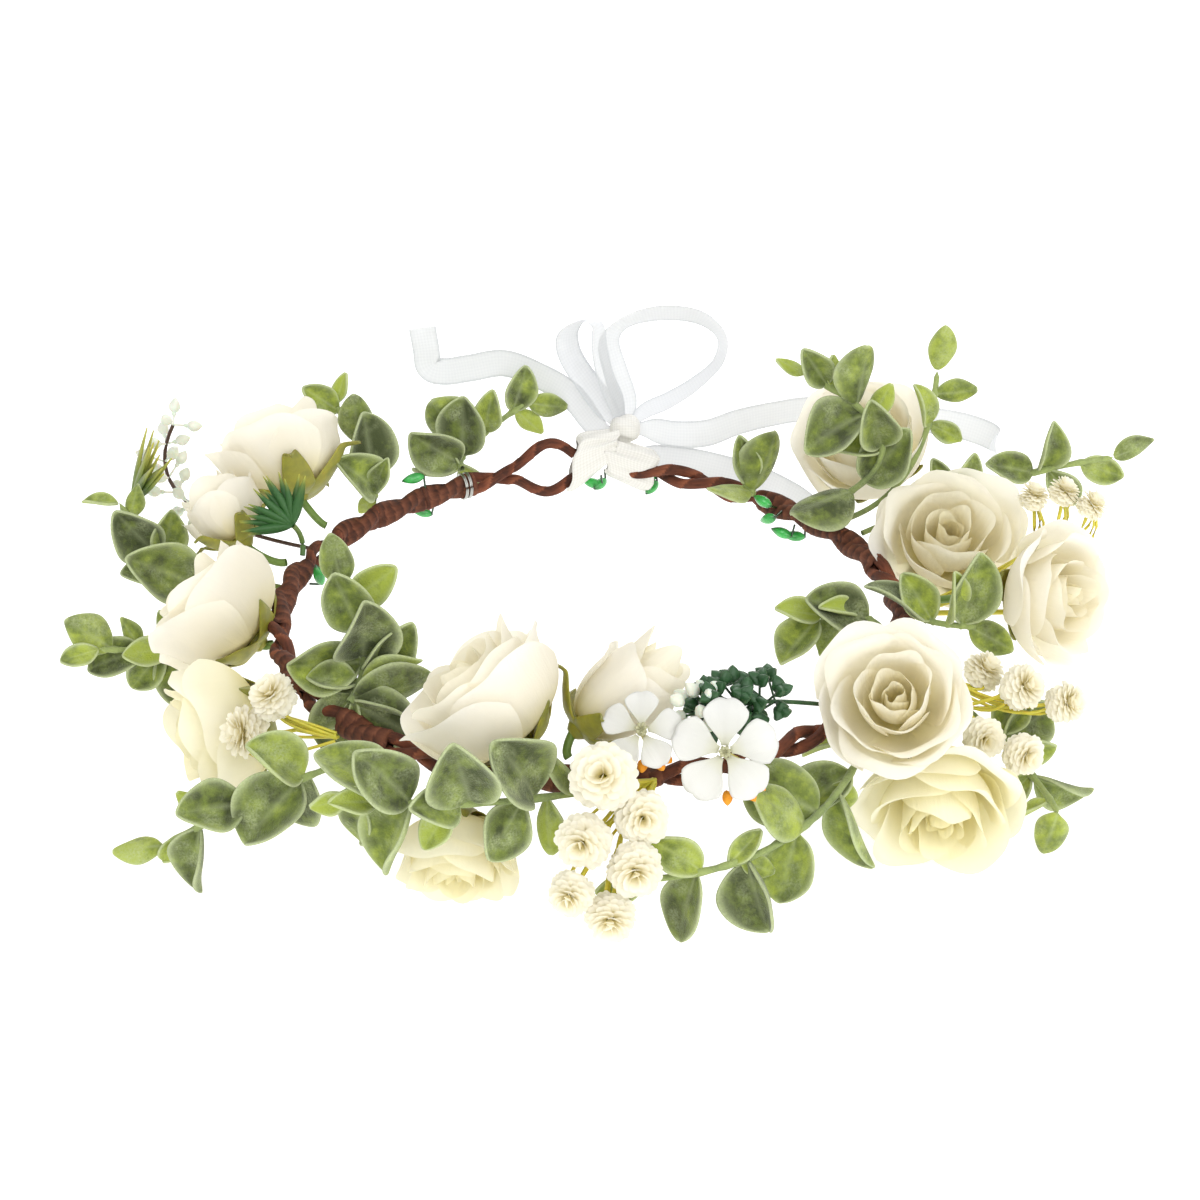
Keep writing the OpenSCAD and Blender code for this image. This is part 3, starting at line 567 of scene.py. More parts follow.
CALYX = moulded("olive_polyethylene", "#97932f", "#6d7030", 0.5, glow=0.1)
YELLOW_STEM = moulded("yellow_polyethylene", "#d8cb45", "#b7b545", 0.45, glow=0.1)
GREEN_STEM = moulded("green_polyethylene", "#6f8a3c", "#55702f", 0.5)
PIP = moulded("lacquered_green_pip", "#3fbf55", "#143d1c", 0.25, 0.6, 4.0)
PALM = moulded("dark_green_polyethylene", "#2a5a24", "#b9b548", 0.5, size=30.0)
BUD_GREEN = moulded("bottle_green_polyethylene", "#1d3f22", "#2f5a30", 0.45)
BUD_WHITE = moulded("milky_polyethylene", "#e3e6da", "#cdd4bf", 0.5, glow=0.2)
BROWN_WIRE = moulded("brown_coated_wire", "#4c3226", "#2e1f19", 0.5)
POLLEN = moulded("orange_flock", "#f0a02c", "#d97f1c", 0.9, size=0.8)
POMPON = pressed_silk("cream_cut_foam", "#faf8ee", "#f7f3e2", "#f0e8b8", "#fbf2cc", 0.4)
SILVER = blank("galvanised_steel_wire", Base_Color=linear("#b9b9b4"), Metallic=1.0, Roughness=0.35)[0]

# %% [markdown]
# The ring's wires are wrapped in a strip of brown crepe paper, wound at a slant. The strip's edge shows as
# a fine spiral ridge, which the tube carries as shape. The colour follows the strip: a painted highlight
# makes it lighter on the raised ridge, and it is darker where glue has soaked in.

# %% Wrapped paper
def wrapped_paper(name, light, mid, dark):
    m, tree, shader = blank(name, Roughness=0.78, Specular_IOR_Level=0.3)
    fibres = noise(tree, on_cloth(tree, 1.6, 0.3), 1.2, 4.0, 0.65)
    patches = noise(tree, in_mm(tree), 6.0, 2.0)
    # painted highlight: the raised ridge at the strip's edge is coloured lighter
    ridge_highlight = maths(tree, "MULTIPLY", mark(tree, "ridge"), 0.4)
    tone = maths(tree, "ADD", maths(tree, "MULTIPLY", fibres, 0.6), ridge_highlight)
    tone = maths(tree, "ADD", tone, maths(tree, "MULTIPLY", maths(tree, "SUBTRACT", patches, 0.5), 0.5))
    tree.links.new(ramp(tree, tone, (0.2, dark), (0.5, mid), (0.85, light)), shader.inputs["Base Color"])
    tree.links.new(bump(tree, fibres, 0.35, 0.8), shader.inputs["Normal"])
    return m


PAPER = wrapped_paper("brown_crepe_paper", "#95583c", "#6b3a26", "#3c2016")
TAPE = wrapped_paper("brown_floral_tape", "#84513a", "#5d3524", "#341d15")

# %% [markdown]
# The ribbon is organza: a very open plain weave of fine stiff threads, so what is behind it shows
# through. Its two woven edges are denser. Real threads are a tenth of a millimetre apart, and these are
# drawn as bands about 1 mm apart so that they show: a wave's scale is 2 pi / 20 over the spacing.

# %% Organza
BAND_SCALE = 2.0 / 6.3


def organza(name, cover, bright, dull):
    m, tree, shader = blank(name, Roughness=0.5, Alpha=cover, Sheen_Weight=0.3, Sheen_Roughness=0.3,
                            Specular_IOR_Level=0.4)
    along = node(tree, "ShaderNodeTexWave", {"bands_direction": "X"}, Vector=on_cloth(tree),
                 Scale=BAND_SCALE, Distortion=0.4).outputs["Fac"]
    over = node(tree, "ShaderNodeTexWave", {"bands_direction": "Y"}, Vector=on_cloth(tree),
                Scale=BAND_SCALE, Distortion=0.4).outputs["Fac"]
    threads = maths(tree, "ADD", along, over)
    tree.links.new(ramp(tree, maths(tree, "MULTIPLY", threads, 0.5), (0.2, dull), (0.8, bright)),
                   shader.inputs["Base Color"])
    tree.links.new(bump(tree, threads, 0.04, 0.35), shader.inputs["Normal"])
    return m


SHEER = organza("white_organza", 0.8, "#ced0d2", "#c9cbce")
SELVEDGE = organza("white_organza_edge", 0.9, "#c8cbce", "#c2c5c8")
KNOTTED = organza("white_organza_layers", 0.99, "#e4e2dd", "#dad8d2")

# %% [markdown]
# ## The camera and the room
# The camera looks down at 28 degrees through a long lens. Its sensor is shifted a little, which moves
# the crown in the frame without turning it.

# %% Camera
CAMERA_TILT, CAMERA_FAR = 28.0, 0.704
camera_data = bpy.data.cameras.new("camera")
camera_data.sensor_width = 36.0
camera_data.lens = 74.4
camera_data.shift_x = 1 / 120
camera_data.shift_y = 1 / 75
camera_data.clip_start, camera_data.clip_end = 0.01, 20
camera = bpy.data.objects.new("camera", camera_data)
bpy.context.scene.collection.objects.link(camera)
tilt = math.radians(CAMERA_TILT)
camera.location = (0, -CAMERA_FAR * math.cos(tilt), CAMERA_FAR * math.sin(tilt))
camera.rotation_euler = (math.pi / 2 - tilt, 0, 0)
bpy.context.scene.camera = camera

# %% [markdown]
# The crown stands in a white light tent. The floor is a white sweep lit from below, so it glows a
# little and the crown throws hardly any shadow on it. Four broad lamps model the petals softly.

# %% Floor and lights
floor_z = cad_low.z - 0.0005
floor_points = np.array([[-1, -1], [1, -1], [1, 1], [-1, 1]]) * 6.0
floor_mesh = bpy.data.meshes.new("floor")
floor_mesh.from_pydata([(x, y, floor_z) for x, y in floor_points], [], [(0, 1, 2, 3)])
floor = bpy.data.objects.new("floor", floor_mesh)
bpy.context.scene.collection.objects.link(floor)
floor_material, _, _ = blank("backlit_white_sweep", Base_Color=(0.9, 0.9, 0.9, 1), Roughness=0.9,
                             Specular_IOR_Level=0.1, Emission_Color=(1, 1, 1, 1), Emission_Strength=0.5)
floor_mesh.materials.append(floor_material)


def soft_light(name, at, aim_at, size, watts):
    data = bpy.data.lights.new(name, "AREA")
    data.shape, data.size, data.energy = "DISK", size, watts
    lamp = bpy.data.objects.new(name, data)
    lamp.location = at
    lamp.rotation_euler = (Vector(at) - Vector(aim_at)).to_track_quat("Z", "Y").to_euler()
    bpy.context.scene.collection.objects.link(lamp)


soft_light("key", (-0.8, -0.7, 1.4), (0, 0, 0), 0.9, 6.5)
soft_light("fill", (1.1, -0.7, 0.9), (0, 0, 0), 1.0, 7)
soft_light("front", (0.25, -1.5, 0.75), (0, 0, 0), 1.3, 10)
soft_light("back", (0.2, 1.3, 0.9), (0, 0, 0), 1.0, 10)
world = bpy.data.worlds.new("light_tent")
world.use_nodes = True
tent = world.node_tree.nodes["Background"]
tent.inputs["Color"].default_value = (1, 1, 1, 1)
tent.inputs["Strength"].default_value = 0.66
bpy.context.scene.world = world
bpy.context.scene.view_settings.view_transform = "Standard"

# %% [markdown]
# ## The ring
# Each strand winds round the ring's centre line, half a turn from its partner. Near the bow the two part
# to leave an eye for the ribbon. The wrap is a slanted strip, so the radius steps up along the strip and
# drops at its edge: radius = core + step x (fraction of the winding).

# %% Twisted strands
EYE_START = 1 - EYE_A / SWEEP_A
WRAP_PITCH = 9.0


def strand_turn(t):
    """The angle that the pair has turned through at share t of its length. The eye isn't twisted."""
    return 90 + 360 * TWISTS * np.maximum(0, EYE_START - t) / EYE_START


def strand_path(half_turn, rows):
    """The centre line of a strand: ring + out (cos turn level + sin turn up)."""
    t = np.linspace(0, 1, rows)
    a = START_A - SWEEP_A * t
    u = np.clip((t - EYE_START) / (1 - EYE_START), 0, 1)
    out = STRAND_R * 1.14 + (EYE_HALF - STRAND_R) * np.sin(np.radians(155 * u)) ** 1.5
    return ring_at(a) + out[:, None] * ring_side(a, strand_turn(t) + half_turn)


def wrapped_strand(name, half_turn, seed):
    rng = np.random.default_rng(seed)
    path = strand_path(half_turn, 1500)
    run = run_along(path)
    turn = np.arange(16) * 2 * np.pi / 16
    wind = run[:, None] / WRAP_PITCH + turn[None] / (2 * np.pi)
    ridge = (wind % 1) ** 2.5
    lumps = np.interp(run, np.linspace(0, run[-1], 160), rng.normal(0, 0.06, 160))
    creases = 0.05 * np.sin(5 * turn[None] + run[:, None] / 3.1)
    creases = creases + 0.03 * np.sin(3 * turn[None] - run[:, None] / 1.7)
    radius = STRAND_R * (0.93 + 0.1 * ridge) + lumps[:, None] + creases
    g = tube(path, radius, 16, closed_tips=True)
    # ridge also sets the painted highlight of the paper
    g["ridge"] = ridge[None]
    obj = piece(name, [g], [PAPER], weld=0.06)
    print(name, "length", round(run[-1]), "mm")
    return obj


dress(wrapped_strand("wrapped_strand_outer", 0, 1), "vine_strand_outer")
dress(wrapped_strand("wrapped_strand_inner", 180, 2), "vine_strand_inner")

# %% [markdown]
# The steel core of each strand shows only at its cut ends. Stems are bound on with floral tape, a
# stretched crepe strip whose overlapping turns leave soft ridges. A sleeve of it hugs both strands, so
# its radius is largest along the line from one strand to the other. The plain tape solids tell where
# the sleeves are, every 12 degrees.

# %% Core wires
core_ends = []
for half_turn in (0, 180):
    whole = strand_path(half_turn, 1500)
    for end, inner in ((whole[0], whole[6]), (whole[-1], whole[-7])):
        core_ends.append(tube(straight(inner, end + 1.2 * unit(end - inner), 5), 0.6, 10, closed_tips=True))
dress(piece("cut_wire_ends", core_ends, [SILVER], weld=0.05), "core_wires")

# %% Tape
SLEEVE_HALF = 6.1
tape_points = np.array([v.co for v in frame["nodes"]["binding_tape"].data.vertices]) / MM


def is_bound(a):
    """Whether a plain tape solid stands near the ring at this angle."""
    return np.min(np.linalg.norm(tape_points - ring_at(float(a)), axis=1)) < 7


bound = [a for a in range(-180, 180, 12) if is_bound(a)]
sleeves = []
for number, a in enumerate(bound):
    s = np.linspace(-1, 1, 40)
    path = ring_at(a + s * SLEEVE_HALF)
    turn = np.arange(18) * 2 * np.pi / 18
    ridge = ((s[:, None] * 3 + turn[None] / (2 * np.pi) + 0.37 * number) % 1) ** 1.3
    travelled = (START_A - (a + s * SLEEVE_HALF)) % 360 / SWEEP_A
    lay = np.radians(strand_turn(travelled))
    body = 1.86 + 1.94 * np.abs(np.cos(turn[None] - (np.pi - lay)[:, None])) + 0.07 * ridge
    body = body * np.clip(np.minimum(1 - s, 1 + s) / .06, .5, 1)[:, None] ** .5
    g = tube(path, body, 18)
    # ridge also sets the painted highlight of the tape
    g["ridge"] = ridge[None]
    sleeves.append(g)
dress(piece("floral_tape_sleeves", sleeves, [TAPE]), "binding_tape")
print("tape sleeves:", len(bound))

# %% Tie wires
ties = []
for a in (115.5, 116.5):
    turn = np.radians(np.linspace(0, 720, 73))
    round_ring = np.cos(turn)[:, None] * ring_side(a, 0.0) + np.sin(turn)[:, None] * ring_side(a, 90.0)
    path = ring_at(a + turn / 20) + 3.9 * round_ring
    ties.append(tube(path, 0.27, 8, closed_tips=True))
dress(piece("twist_of_tie_wire", ties, [SILVER], weld=0.05), "tie_wires")

# %% [markdown]
# ## The roses
# A rose is layers of petals round one axis. Each petal is a strip of a cup: across it runs an angle about
# the axis, and up it runs a curve from the base, out to the belly and up to the lip, which rolls back.
# Each petal starts inside its left neighbour and ends outside its right one, so they interlock.

# %% Petal layers
# how many, lip radius, lip height, half width in degrees, belly, roll of the lip, point of the lip
LAYERS = {
    "open": [(3, .12, .42, 115, .5, .03, 0), (3, .25, .5, 92, .42, .07, .05),
             (4, .44, .53, 74, .34, .12, .06), (4, .7, .48, 68, .24, .2, .05),
             (5, .95, .24, 60, .12, .21, .03)],
    "half": [(3, .12, .56, 120, .5, .02, 0), (3, .27, .64, 95, .42, .05, .01),
             (4, .43, .68, 78, .34, .09, .02), (5, .68, .66, 64, .24, .14, .04),
             (5, .92, .5, 64, .16, .16, .06)],
    "bud": [(3, .09, .86, 118, .3, .0, 0), (3, .22, .98, 98, .4, .02, .02), (3, .42, 1.02, 86, .4, .05, .06),
            (3, .62, .98, 78, .34, .12, .1), (4, .78, .7, 66, .3, .24, .12)],
}


def rose_petals(kind, seed, rows=20, cols=23):
    """Petals of a head of radius 1 round +Z, as (petals, rows, cols, 3), with reach, 0 at the base and 1
    at the lip, and core, 1 for the innermost layer. Radius and height are cubic curves of the way up v,
    the angle is turn + u half, and the lip rolls out and down over the last quarter."""
    rng = np.random.default_rng(seed)
    made = []
    for depth, (count, lip_r, lip_z, half, belly, roll, point) in enumerate(LAYERS[kind]):
        k = np.arange(count)
        made.append(np.stack([
            (k + rng.uniform(-.12, .12, count)) * 2 * np.pi / count + depth * 2.4,
            lip_r * rng.uniform(.95, 1.05, count), lip_z + rng.uniform(-.04, .04, count),
            np.radians(half) * rng.uniform(.93, 1.07, count), belly * rng.uniform(.8, 1.2, count),
            roll * rng.uniform(.7, 1.4, count), np.full(count, point) * rng.uniform(.5, 1.5, count),
            np.full(count, 1 - depth / (len(LAYERS[kind]) - 1))], -1))
    p = np.concatenate(made)[:, :, None, None]
    turn, lip_r, lip_z, half, belly, roll, point, inner = [p[:, i] for i in range(8)]
    u = np.linspace(-1, 1, cols)[None, None, :]
    t = np.linspace(0, 1, rows)[None, :, None]
    wave = [rng.uniform(0, 6.28, len(p))[:, None, None] for _ in range(3)]
    v = t * (1 - .32 * np.abs(u) ** 2.6 + .8 * point * np.exp(-(u / .4) ** 2))
    base_r, base_z = .03 + .14 * (1 - inner), -.42 - .22 * (1 - inner)
    c = [(base_r, base_z), (base_r + .9 * (lip_r - base_r) + .25 * belly, base_z + .02),
         (lip_r * (1 + 1.3 * belly), base_z + .6 * (lip_z - base_z)), (lip_r, lip_z)]
    w = [(1 - v) ** 3, 3 * v * (1 - v) ** 2, 3 * v * v * (1 - v), v ** 3]
    rho = sum(a * q[0] for a, q in zip(w, c))
    z = sum(a * q[1] for a, q in zip(w, c))
    lip = np.clip((v - .72) / .28, 0, 1.2)
    rho = rho + roll * lip ** 1.6 + .35 * roll * np.abs(u) ** 3 * v ** 2
    z = z - .55 * roll * lip ** 2.6 - .35 * roll * np.abs(u) ** 4 * v
    frill = v ** 4 * (.016 + .19 * roll)
    rho = rho * (1 + .09 * u) + frill * np.sin(7.5 * u + wave[0]) * .7
    rho = rho + .05 * np.sin(2.4 * u + wave[1]) * v ** 2
    z = z + frill * np.sin(5.5 * u + wave[1]) + .08 * np.sin(2 * u + wave[2]) * v ** 2
    fan_out = .78 + .22 * np.sin(np.pi / 2 * np.clip(v / .6, 0, 1))
    angle = turn + u * half * fan_out + .12 * np.sin(wave[2] + 3 * v) * v
    at = np.stack([rho * np.cos(angle), rho * np.sin(angle), z], -1)
    return at, np.broadcast_to(v, z.shape), np.broadcast_to(inner, z.shape)


# %% [markdown]
# Below the petals sits the calyx: a round hip and five long pointed sepals. A sepal is a blade whose
# middle follows the underside of the head and then curls away, and whose width tapers to a point.

# %% Sepals and hip
def sepals(seed, curl, grown=1.0, rows=16, cols=7):
    """Five blades of a calyx for a head of radius 1. The middle line runs through five stations under the
    head, and half width = .27 sin^1.1 (pi (.86 t + .13)^.62)."""
    rng = np.random.default_rng(seed)
    t = np.linspace(0, 1, rows)[None, :, None]
    s = np.linspace(-1, 1, cols)[None, None, :]
    u = t * grown
    stations = np.array([0, .25, .5, .75, 1.0])
    rho = np.interp(u, stations, [.1, .4, .74, .98, 1.1 + .16 * curl])
    z = np.interp(u, stations, [-.72, -.68, -.46, -.16 - .1 * curl, .02 - .42 * curl])
    long = rng.uniform(.85, 1.1, 5)[:, None, None]
    rho = .1 + (rho - .1) * long
    half = .27 * np.sin(np.pi * np.clip(t * .86 + .13, 0, 1) ** .62) ** 1.1 + .008
    turn = (np.arange(5) * 72 + rng.uniform(-8, 8, 5))[:, None, None]
    angle = np.radians(turn) + 0.3 * curl * (t - .4) * rng.uniform(-1, 1, 5)[:, None, None]
    side = s * half
    sag = .05 * (1 - s * s)
    x = rho * np.cos(angle) - side * np.sin(angle)
    y = rho * np.sin(angle) + side * np.cos(angle)
    z = z + 0 * side - sag + .03 * np.sin(6 * t + turn) * t
    return np.stack(np.broadcast_arrays(x, y, z), -1), np.broadcast_to(t ** 3, (5, rows, cols))


# %% Build every rose
# a head reaches BELLY_DEEP of its radius below its centre, and its sepals lie just outside it
BELLY_DEEP, SEPALS_OUT = .66, 1.03
HIP = turned_form([(.02, -3.7), (1.6, -3.6), (2.2, -3.0), (3.2, -1.6), (3.6, -.4), (2.8, .9), (.02, 1.2)])


def petal_cloth(petals, rows, cols, r):
    """Places on the flat cut cloth, in mm: each petal is cut 37 mm from the last one."""
    x = np.linspace(-1, 1, cols)[None, None, :] * r * .6 + np.arange(petals)[:, None, None] * 37.0
    y = np.linspace(0, 1, rows)[None, :, None] * r * 1.3
    return np.stack(np.broadcast_arrays(x, y), -1)


for number, (ring_a, out, high, az, el, r, kind) in enumerate(ROSES, 1):
    centre = np.array([out * math.cos(math.radians(ring_a)), out * math.sin(math.radians(ring_a)), high])
    way = heading(az, el)
    spin = facing(way)
    at, reach, core = rose_petals(kind, 40 + number)
    slim, tall = SLENDER.get(number, (1, 1))
    at = (at + [0, 0, BELLY_DEEP]) * [slim, slim, tall] - [0, 0, BELLY_DEEP]
    cloth = petal_cloth(*at.shape[:3], r)
    # reach and core set where the silk is painted with its heart colour, partly dyed colour and partly
    # painted warm shade
    petals = {"at": centre + r * at @ spin.T, "uv": cloth, "reach": reach, "core": core}
    head = piece(f"rose_{number}_head", [petals], [CREAM_SILK if number in CREAM_ROSES else SILK])
    dress(head, f"rose_{number}_petals")

    curl, grown = CURLED.get(number, PLAIN_CURL), GROWN.get(number, PLAIN_GROWN)
    blades, tip = sepals(70 + number, curl, grown)
    blades = {"at": centre + (r * SEPALS_OUT * blades) @ spin.T, "tip": tip * .5}
    calyx = piece(f"rose_{number}_sepals", [blades], [CALYX])
    thicken(calyx, 0.55, 1)
    dress(calyx, f"rose_{number}_calyx")

    foot = centre - way * (BELLY_DEEP * r + GAP + 3.8)
    nearest = ring_at(math.degrees(math.atan2(foot[1], foot[0])))
    bind = nearest + BIND_R * unit(foot - nearest)
    middle = (bind + foot) / 2 - way * .12 * np.linalg.norm(bind - foot)
    hip = {"at": centre + (HIP + [0, 0, -BELLY_DEEP * r]) @ spin.T, "wraps": True}
    stem = tube(bowed(bind, middle, foot + way, 14), 1.15, 10) | {"paint": 1}
    stalk = piece(f"rose_{number}_stalk", [hip, stem], [CALYX, GREEN_STEM], weld=0.05)
    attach(stalk, frame["nodes"][f"rose_{number}_calyx"]["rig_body"])
print("roses:", len(ROSES))

# %% [markdown]
# ## The eucalyptus
# A leaf is a grid as well: along it from base to tip, across it from edge to edge. Its half width follows
# a power of a sine, its middle is creased, its edges cup up or down and its tip bends. Long leaves are
# nearly round and short ones narrow. A thick wall and one round of subdivision give the soft flocked rim.

# %% Leaves
# leaves show their upper side forwards and up
LOOK = unit([0, -.88, .47])


def leaf_half(t, length):
    """Half width of a leaf: share of its length x sin^power (pi t^.92), never under .22 mm."""
    share, power = min(.96, .3 + .034 * length), .9 - .014 * length
    return np.maximum(.22, share * length / 2 * np.sin(np.pi * np.clip(t, 0, .998) ** .92) ** power)


def leaf(base, way, face, length, rng, rows=16, cols=11):
    """point = base + t length way + s half(t) wide + (cup s^2 - crease - bend t^2 + wave) face, turned
    about its middle by twist t. Gives its points, then how near each is to the rim and to a rib, how
    young the leaf is, and its place on the flat leaf."""
    t = np.linspace(0, 1, rows)[:, None]
    s = np.linspace(-1, 1, cols)[None, :]
    wide = np.cross(face, way)
    half = leaf_half(t, length) * rng.uniform(.84, 1.04)
    cup, bend = rng.choice([-.7, 1, 1]) * rng.uniform(.3, .8), rng.uniform(.0, .34)
    wave, phase, twist = rng.uniform(.2, .6), rng.uniform(0, 6.28), rng.uniform(-.7, .7)
    rise = cup * half * s ** 2 - .45 * np.exp(-(s * half / .9) ** 2) * (1 - .6 * t)
    y = s * half * (1 + .04 * np.sin(9 * t + phase) - .16 * abs(cup) * s ** 2)
    cos_t, sin_t = np.cos(twist * t), np.sin(twist * t)
    y, rise = y * cos_t - rise * sin_t, rise * cos_t + y * sin_t
    rise = rise - bend * length * t ** 2 + .5 * bend * length * t
    rise = rise + wave * np.sin(6 * t + phase + 2 * s) * s ** 2
    x = t * (length + .9) - .9 + 0 * s
    at = base + x[..., None] * way + y[..., None] * wide + rise[..., None] * face
    # this rim value sets the painted sheen along the leaf's rim
    edge = .8 * np.maximum(np.abs(s) ** 6, np.clip((t - .88) / .12, 0, 1) ** 2)
    rib = np.exp(-(s * half / .45) ** 2) * (1 - .7 * t)
    veins = np.clip(np.sin(2 * np.pi * (t * length / 3.2 - np.abs(s) * half / 4.5)) - .75, 0, 1) * 1.2
    rib = np.maximum(rib, veins * (np.abs(s) < .85))
    young = np.clip(1.28 - length / 17 + rng.uniform(-.2, .45), 0, 1)
    uv = np.stack(np.broadcast_arrays(y, x + 40 * rng.random()), -1)
    return at, edge + 0 * t, rib, young + 0 * edge, uv


def leaf_turns(direction, lean, turn):
    """A leaf's way, at direction round the front view and leaning towards the front, and its face."""
    direction, lean, turn = math.radians(direction), math.radians(lean), math.radians(turn)
    flat = math.cos(lean)
    way = np.array([math.cos(direction) * flat, -math.sin(lean), math.sin(direction) * flat])
    face = unit(LOOK - (LOOK @ way) * way)
    return way, face * math.cos(turn) + np.cross(way, face) * math.sin(turn)


# %% Build every sprig
for number, (a, side, middle, tip_at, leaves) in enumerate(SPRIGS, 1):
    rng = np.random.default_rng(200 + number)
    foot = bind_at(a, side)
    path = bowed(foot, middle, tip_at, 40)
    fine_path = bowed(foot, middle, tip_at, 1001)
    name = f"eucalyptus_{number}"
    made = []
    for share, direction, lean, length, turn in leaves:
        way, face = leaf_turns(direction, lean, turn)
        at_stem = fine_path[int(round(share * 1000))]
        made.append(leaf(at_stem + 1.2 * way, way, face, length, rng))
    at, edge, rib, young, uv = [np.stack(x) for x in zip(*made)]
    foliage = piece(f"{name}_leaves", [{"at": at, "rim": edge, "rib": rib, "young": young, "uv": uv}], [LEAF])
    thicken(foliage, 0.8, 1)
    dress(foliage, name)
    joints = np.array([row[0] for row in leaves])
    t = np.linspace(0, 1, 40)
    swell = 1 + .35 * np.exp(-((t[:, None] - joints[None]) / .018) ** 2).max(1)
    swell[-1] = .1
    stalk = tube(path, (.85 * swell)[:, None], 10)
    # the stem gets a quarter of the painted rim sheen all over
    stalk |= {"young": .5 + .3 * t[None, :, None], "rim": .25}
    stem = piece(f"{name}_stem", [stalk], [STEM])
    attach(stem, frame["nodes"][name]["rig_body"])
print("sprigs:", len(SPRIGS), "leaves:", sum(len(s[4]) for s in SPRIGS))

# %% [markdown]
# ## Gypsophila
# Each head is a ball of tiny cut petals, spread over the ball by the golden angle as seeds are in a
# sunflower. A petal starts deep in the ball, comes out along its own direction and leans away from the
# head's axis. It is only a few dozen faces, because there are well over a thousand of them.

# %% Pompon heads
GOLDEN_TURN = 2.39996


def pompon(centre, radius, way, rng, petals=92, rows=6, cols=7):
    """point = centre + out r (.2 + .78 t size) + lean r (.24 sin(polar) t^2.2 - .1 s^2 t) + side wide(t) s"""
    k = np.arange(petals)
    polar = np.arccos(1 - 1.72 * (k + .5) / petals)
    azimuth = k * GOLDEN_TURN + rng.uniform(-.15, .15, petals)
    level = np.stack([np.cos(azimuth), np.sin(azimuth), 0 * azimuth], -1)
    sin_p, cos_p = np.sin(polar)[:, None], np.cos(polar)[:, None]
    out = (sin_p * level + cos_p * [0, 0, 1]) @ facing(way).T
    lean = (cos_p * level - sin_p * [0, 0, 1]) @ facing(way).T
    side = np.cross(out, lean)
    t = np.linspace(0, 1, rows)[None, :, None, None]
    s = np.linspace(-1, 1, cols)[None, None, :, None]
    out, lean, side = [d[:, None, None] for d in (out, lean, side)]
    size = rng.uniform(.85, 1.12, petals)[:, None, None, None]
    reach = t * (1 - .16 * s ** 4 - .07 * np.exp(-(s / .22) ** 2))
    wide = radius * size * (.05 + .24 * np.sin(np.pi * .5 * t) ** 1.3)
    droop = .24 * sin_p[:, None, None] * t ** 2.2 - .1 * s ** 2 * t
    at = centre + out * radius * (.2 + .78 * reach * size) + lean * radius * droop
    return at + side * wide * s, np.broadcast_to(t[..., 0] ** 1.2, (petals, rows, cols))


# %% Build every spray
CUP = turned_form([(.02, -.75), (.2, -.7), (.34, -.55), (.42, -.32), (.3, -.3)])
for number, (a, side, fork, bow, heads) in enumerate(POMPON_SPRAYS, 1):
    rng = np.random.default_rng(300 + number)
    fork = np.array(fork, float)
    name = f"gypsophila_{number}"
    made, stalks, cups = [], [], []
    foot = bind_at(a, side)
    stalks.append(tube(straight(foot, fork + unit(fork - foot)), .85, 8))
    for x, y, z, r in heads:
        centre = np.array([x, y, z], float)
        way = unit(centre - fork)
        made.append(pompon(centre - way * .15 * r, r * 1.04, unit(way + [0, -.5, .35]), rng))
        bend = (fork + centre) / 2 + bow
        stalks.append(tube(bowed(fork, bend, centre - way * r * .3, 10), .55, 8))
        for wisp in range(3):
            off = rng.normal(0, 1.3, 3)
            wisp_end = centre - way * r * .35 + off * .5
            stalks.append(tube(bowed(foot + off * .3, bend + off * 1.6, wisp_end, 12), .42, 6))
        cups.append({"at": centre + r * CUP @ facing(way).T, "wraps": True})
    at, reach = [np.concatenate(x) for x in zip(*made)]
    # reach sets where the foam is painted with its heart colour, partly dyed colour and partly painted warm
    # shade deep in the ball
    balls = piece(f"{name}_heads", [{"at": at, "reach": reach, "core": 0.0}], [POMPON])
    dress(balls, name)
    wires = piece(f"{name}_stems", stalks + cups, [YELLOW_STEM], weld=0.05)
    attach(wires, "crown")
print("gypsophila heads:", sum(len(spray[-1]) for spray in POMPON_SPRAYS))

# %% [markdown]
# ## Buds, anthers and beads
# Three of the small pieces are one shape: a drop whose radius swells and shrinks along its length, and
# that may have three lobes round it. The buds of the fillers, the anthers of the blossoms and the green
# pips are all made by this function.

# %% A drop with lobes
def bud(at, out, length, width, lobes, sides=10, rows=9):
    """radius = width sin^.8 (pi t) (1 + lobes cos 3 turn), along out from -length/2 to length/2"""
    t = np.linspace(0, 1, rows)
    turn = np.arange(sides) * 2 * np.pi / sides
    r = width * np.sin(np.pi * np.clip(t, .004, .996) ** .85)[:, None] ** .8 * (1 + lobes * np.cos(3 * turn))
    along = np.broadcast_to(((t - .5) * length)[:, None], r.shape)
    local = np.stack([r * np.cos(turn), r * np.sin(turn), along], -1)
    return at + local @ facing(out).T, np.broadcast_to(t[:, None], r.shape)


# %% [markdown]
# ## Blossoms
# Five round petals lie like a saucer round a short tube. A petal's half width grows as a sine from its
# neck, its end has a small notch, and its surface cups towards the front. Seven stamens stand in the
# tube, and orange anthers hang behind the lower petals.

# %% Five-petalled blossoms
TUBE_R = 1.6
THROAT = turned_form([(.02, 1.2), (.5, 1.3), (.9, 1.2), (1.2, .9), (1.3, -.6), (.9, -2.2), (.02, -2.4)])
STAMEN_R = np.array([.22, .2, .2, .3, .5, .3])[:, None]
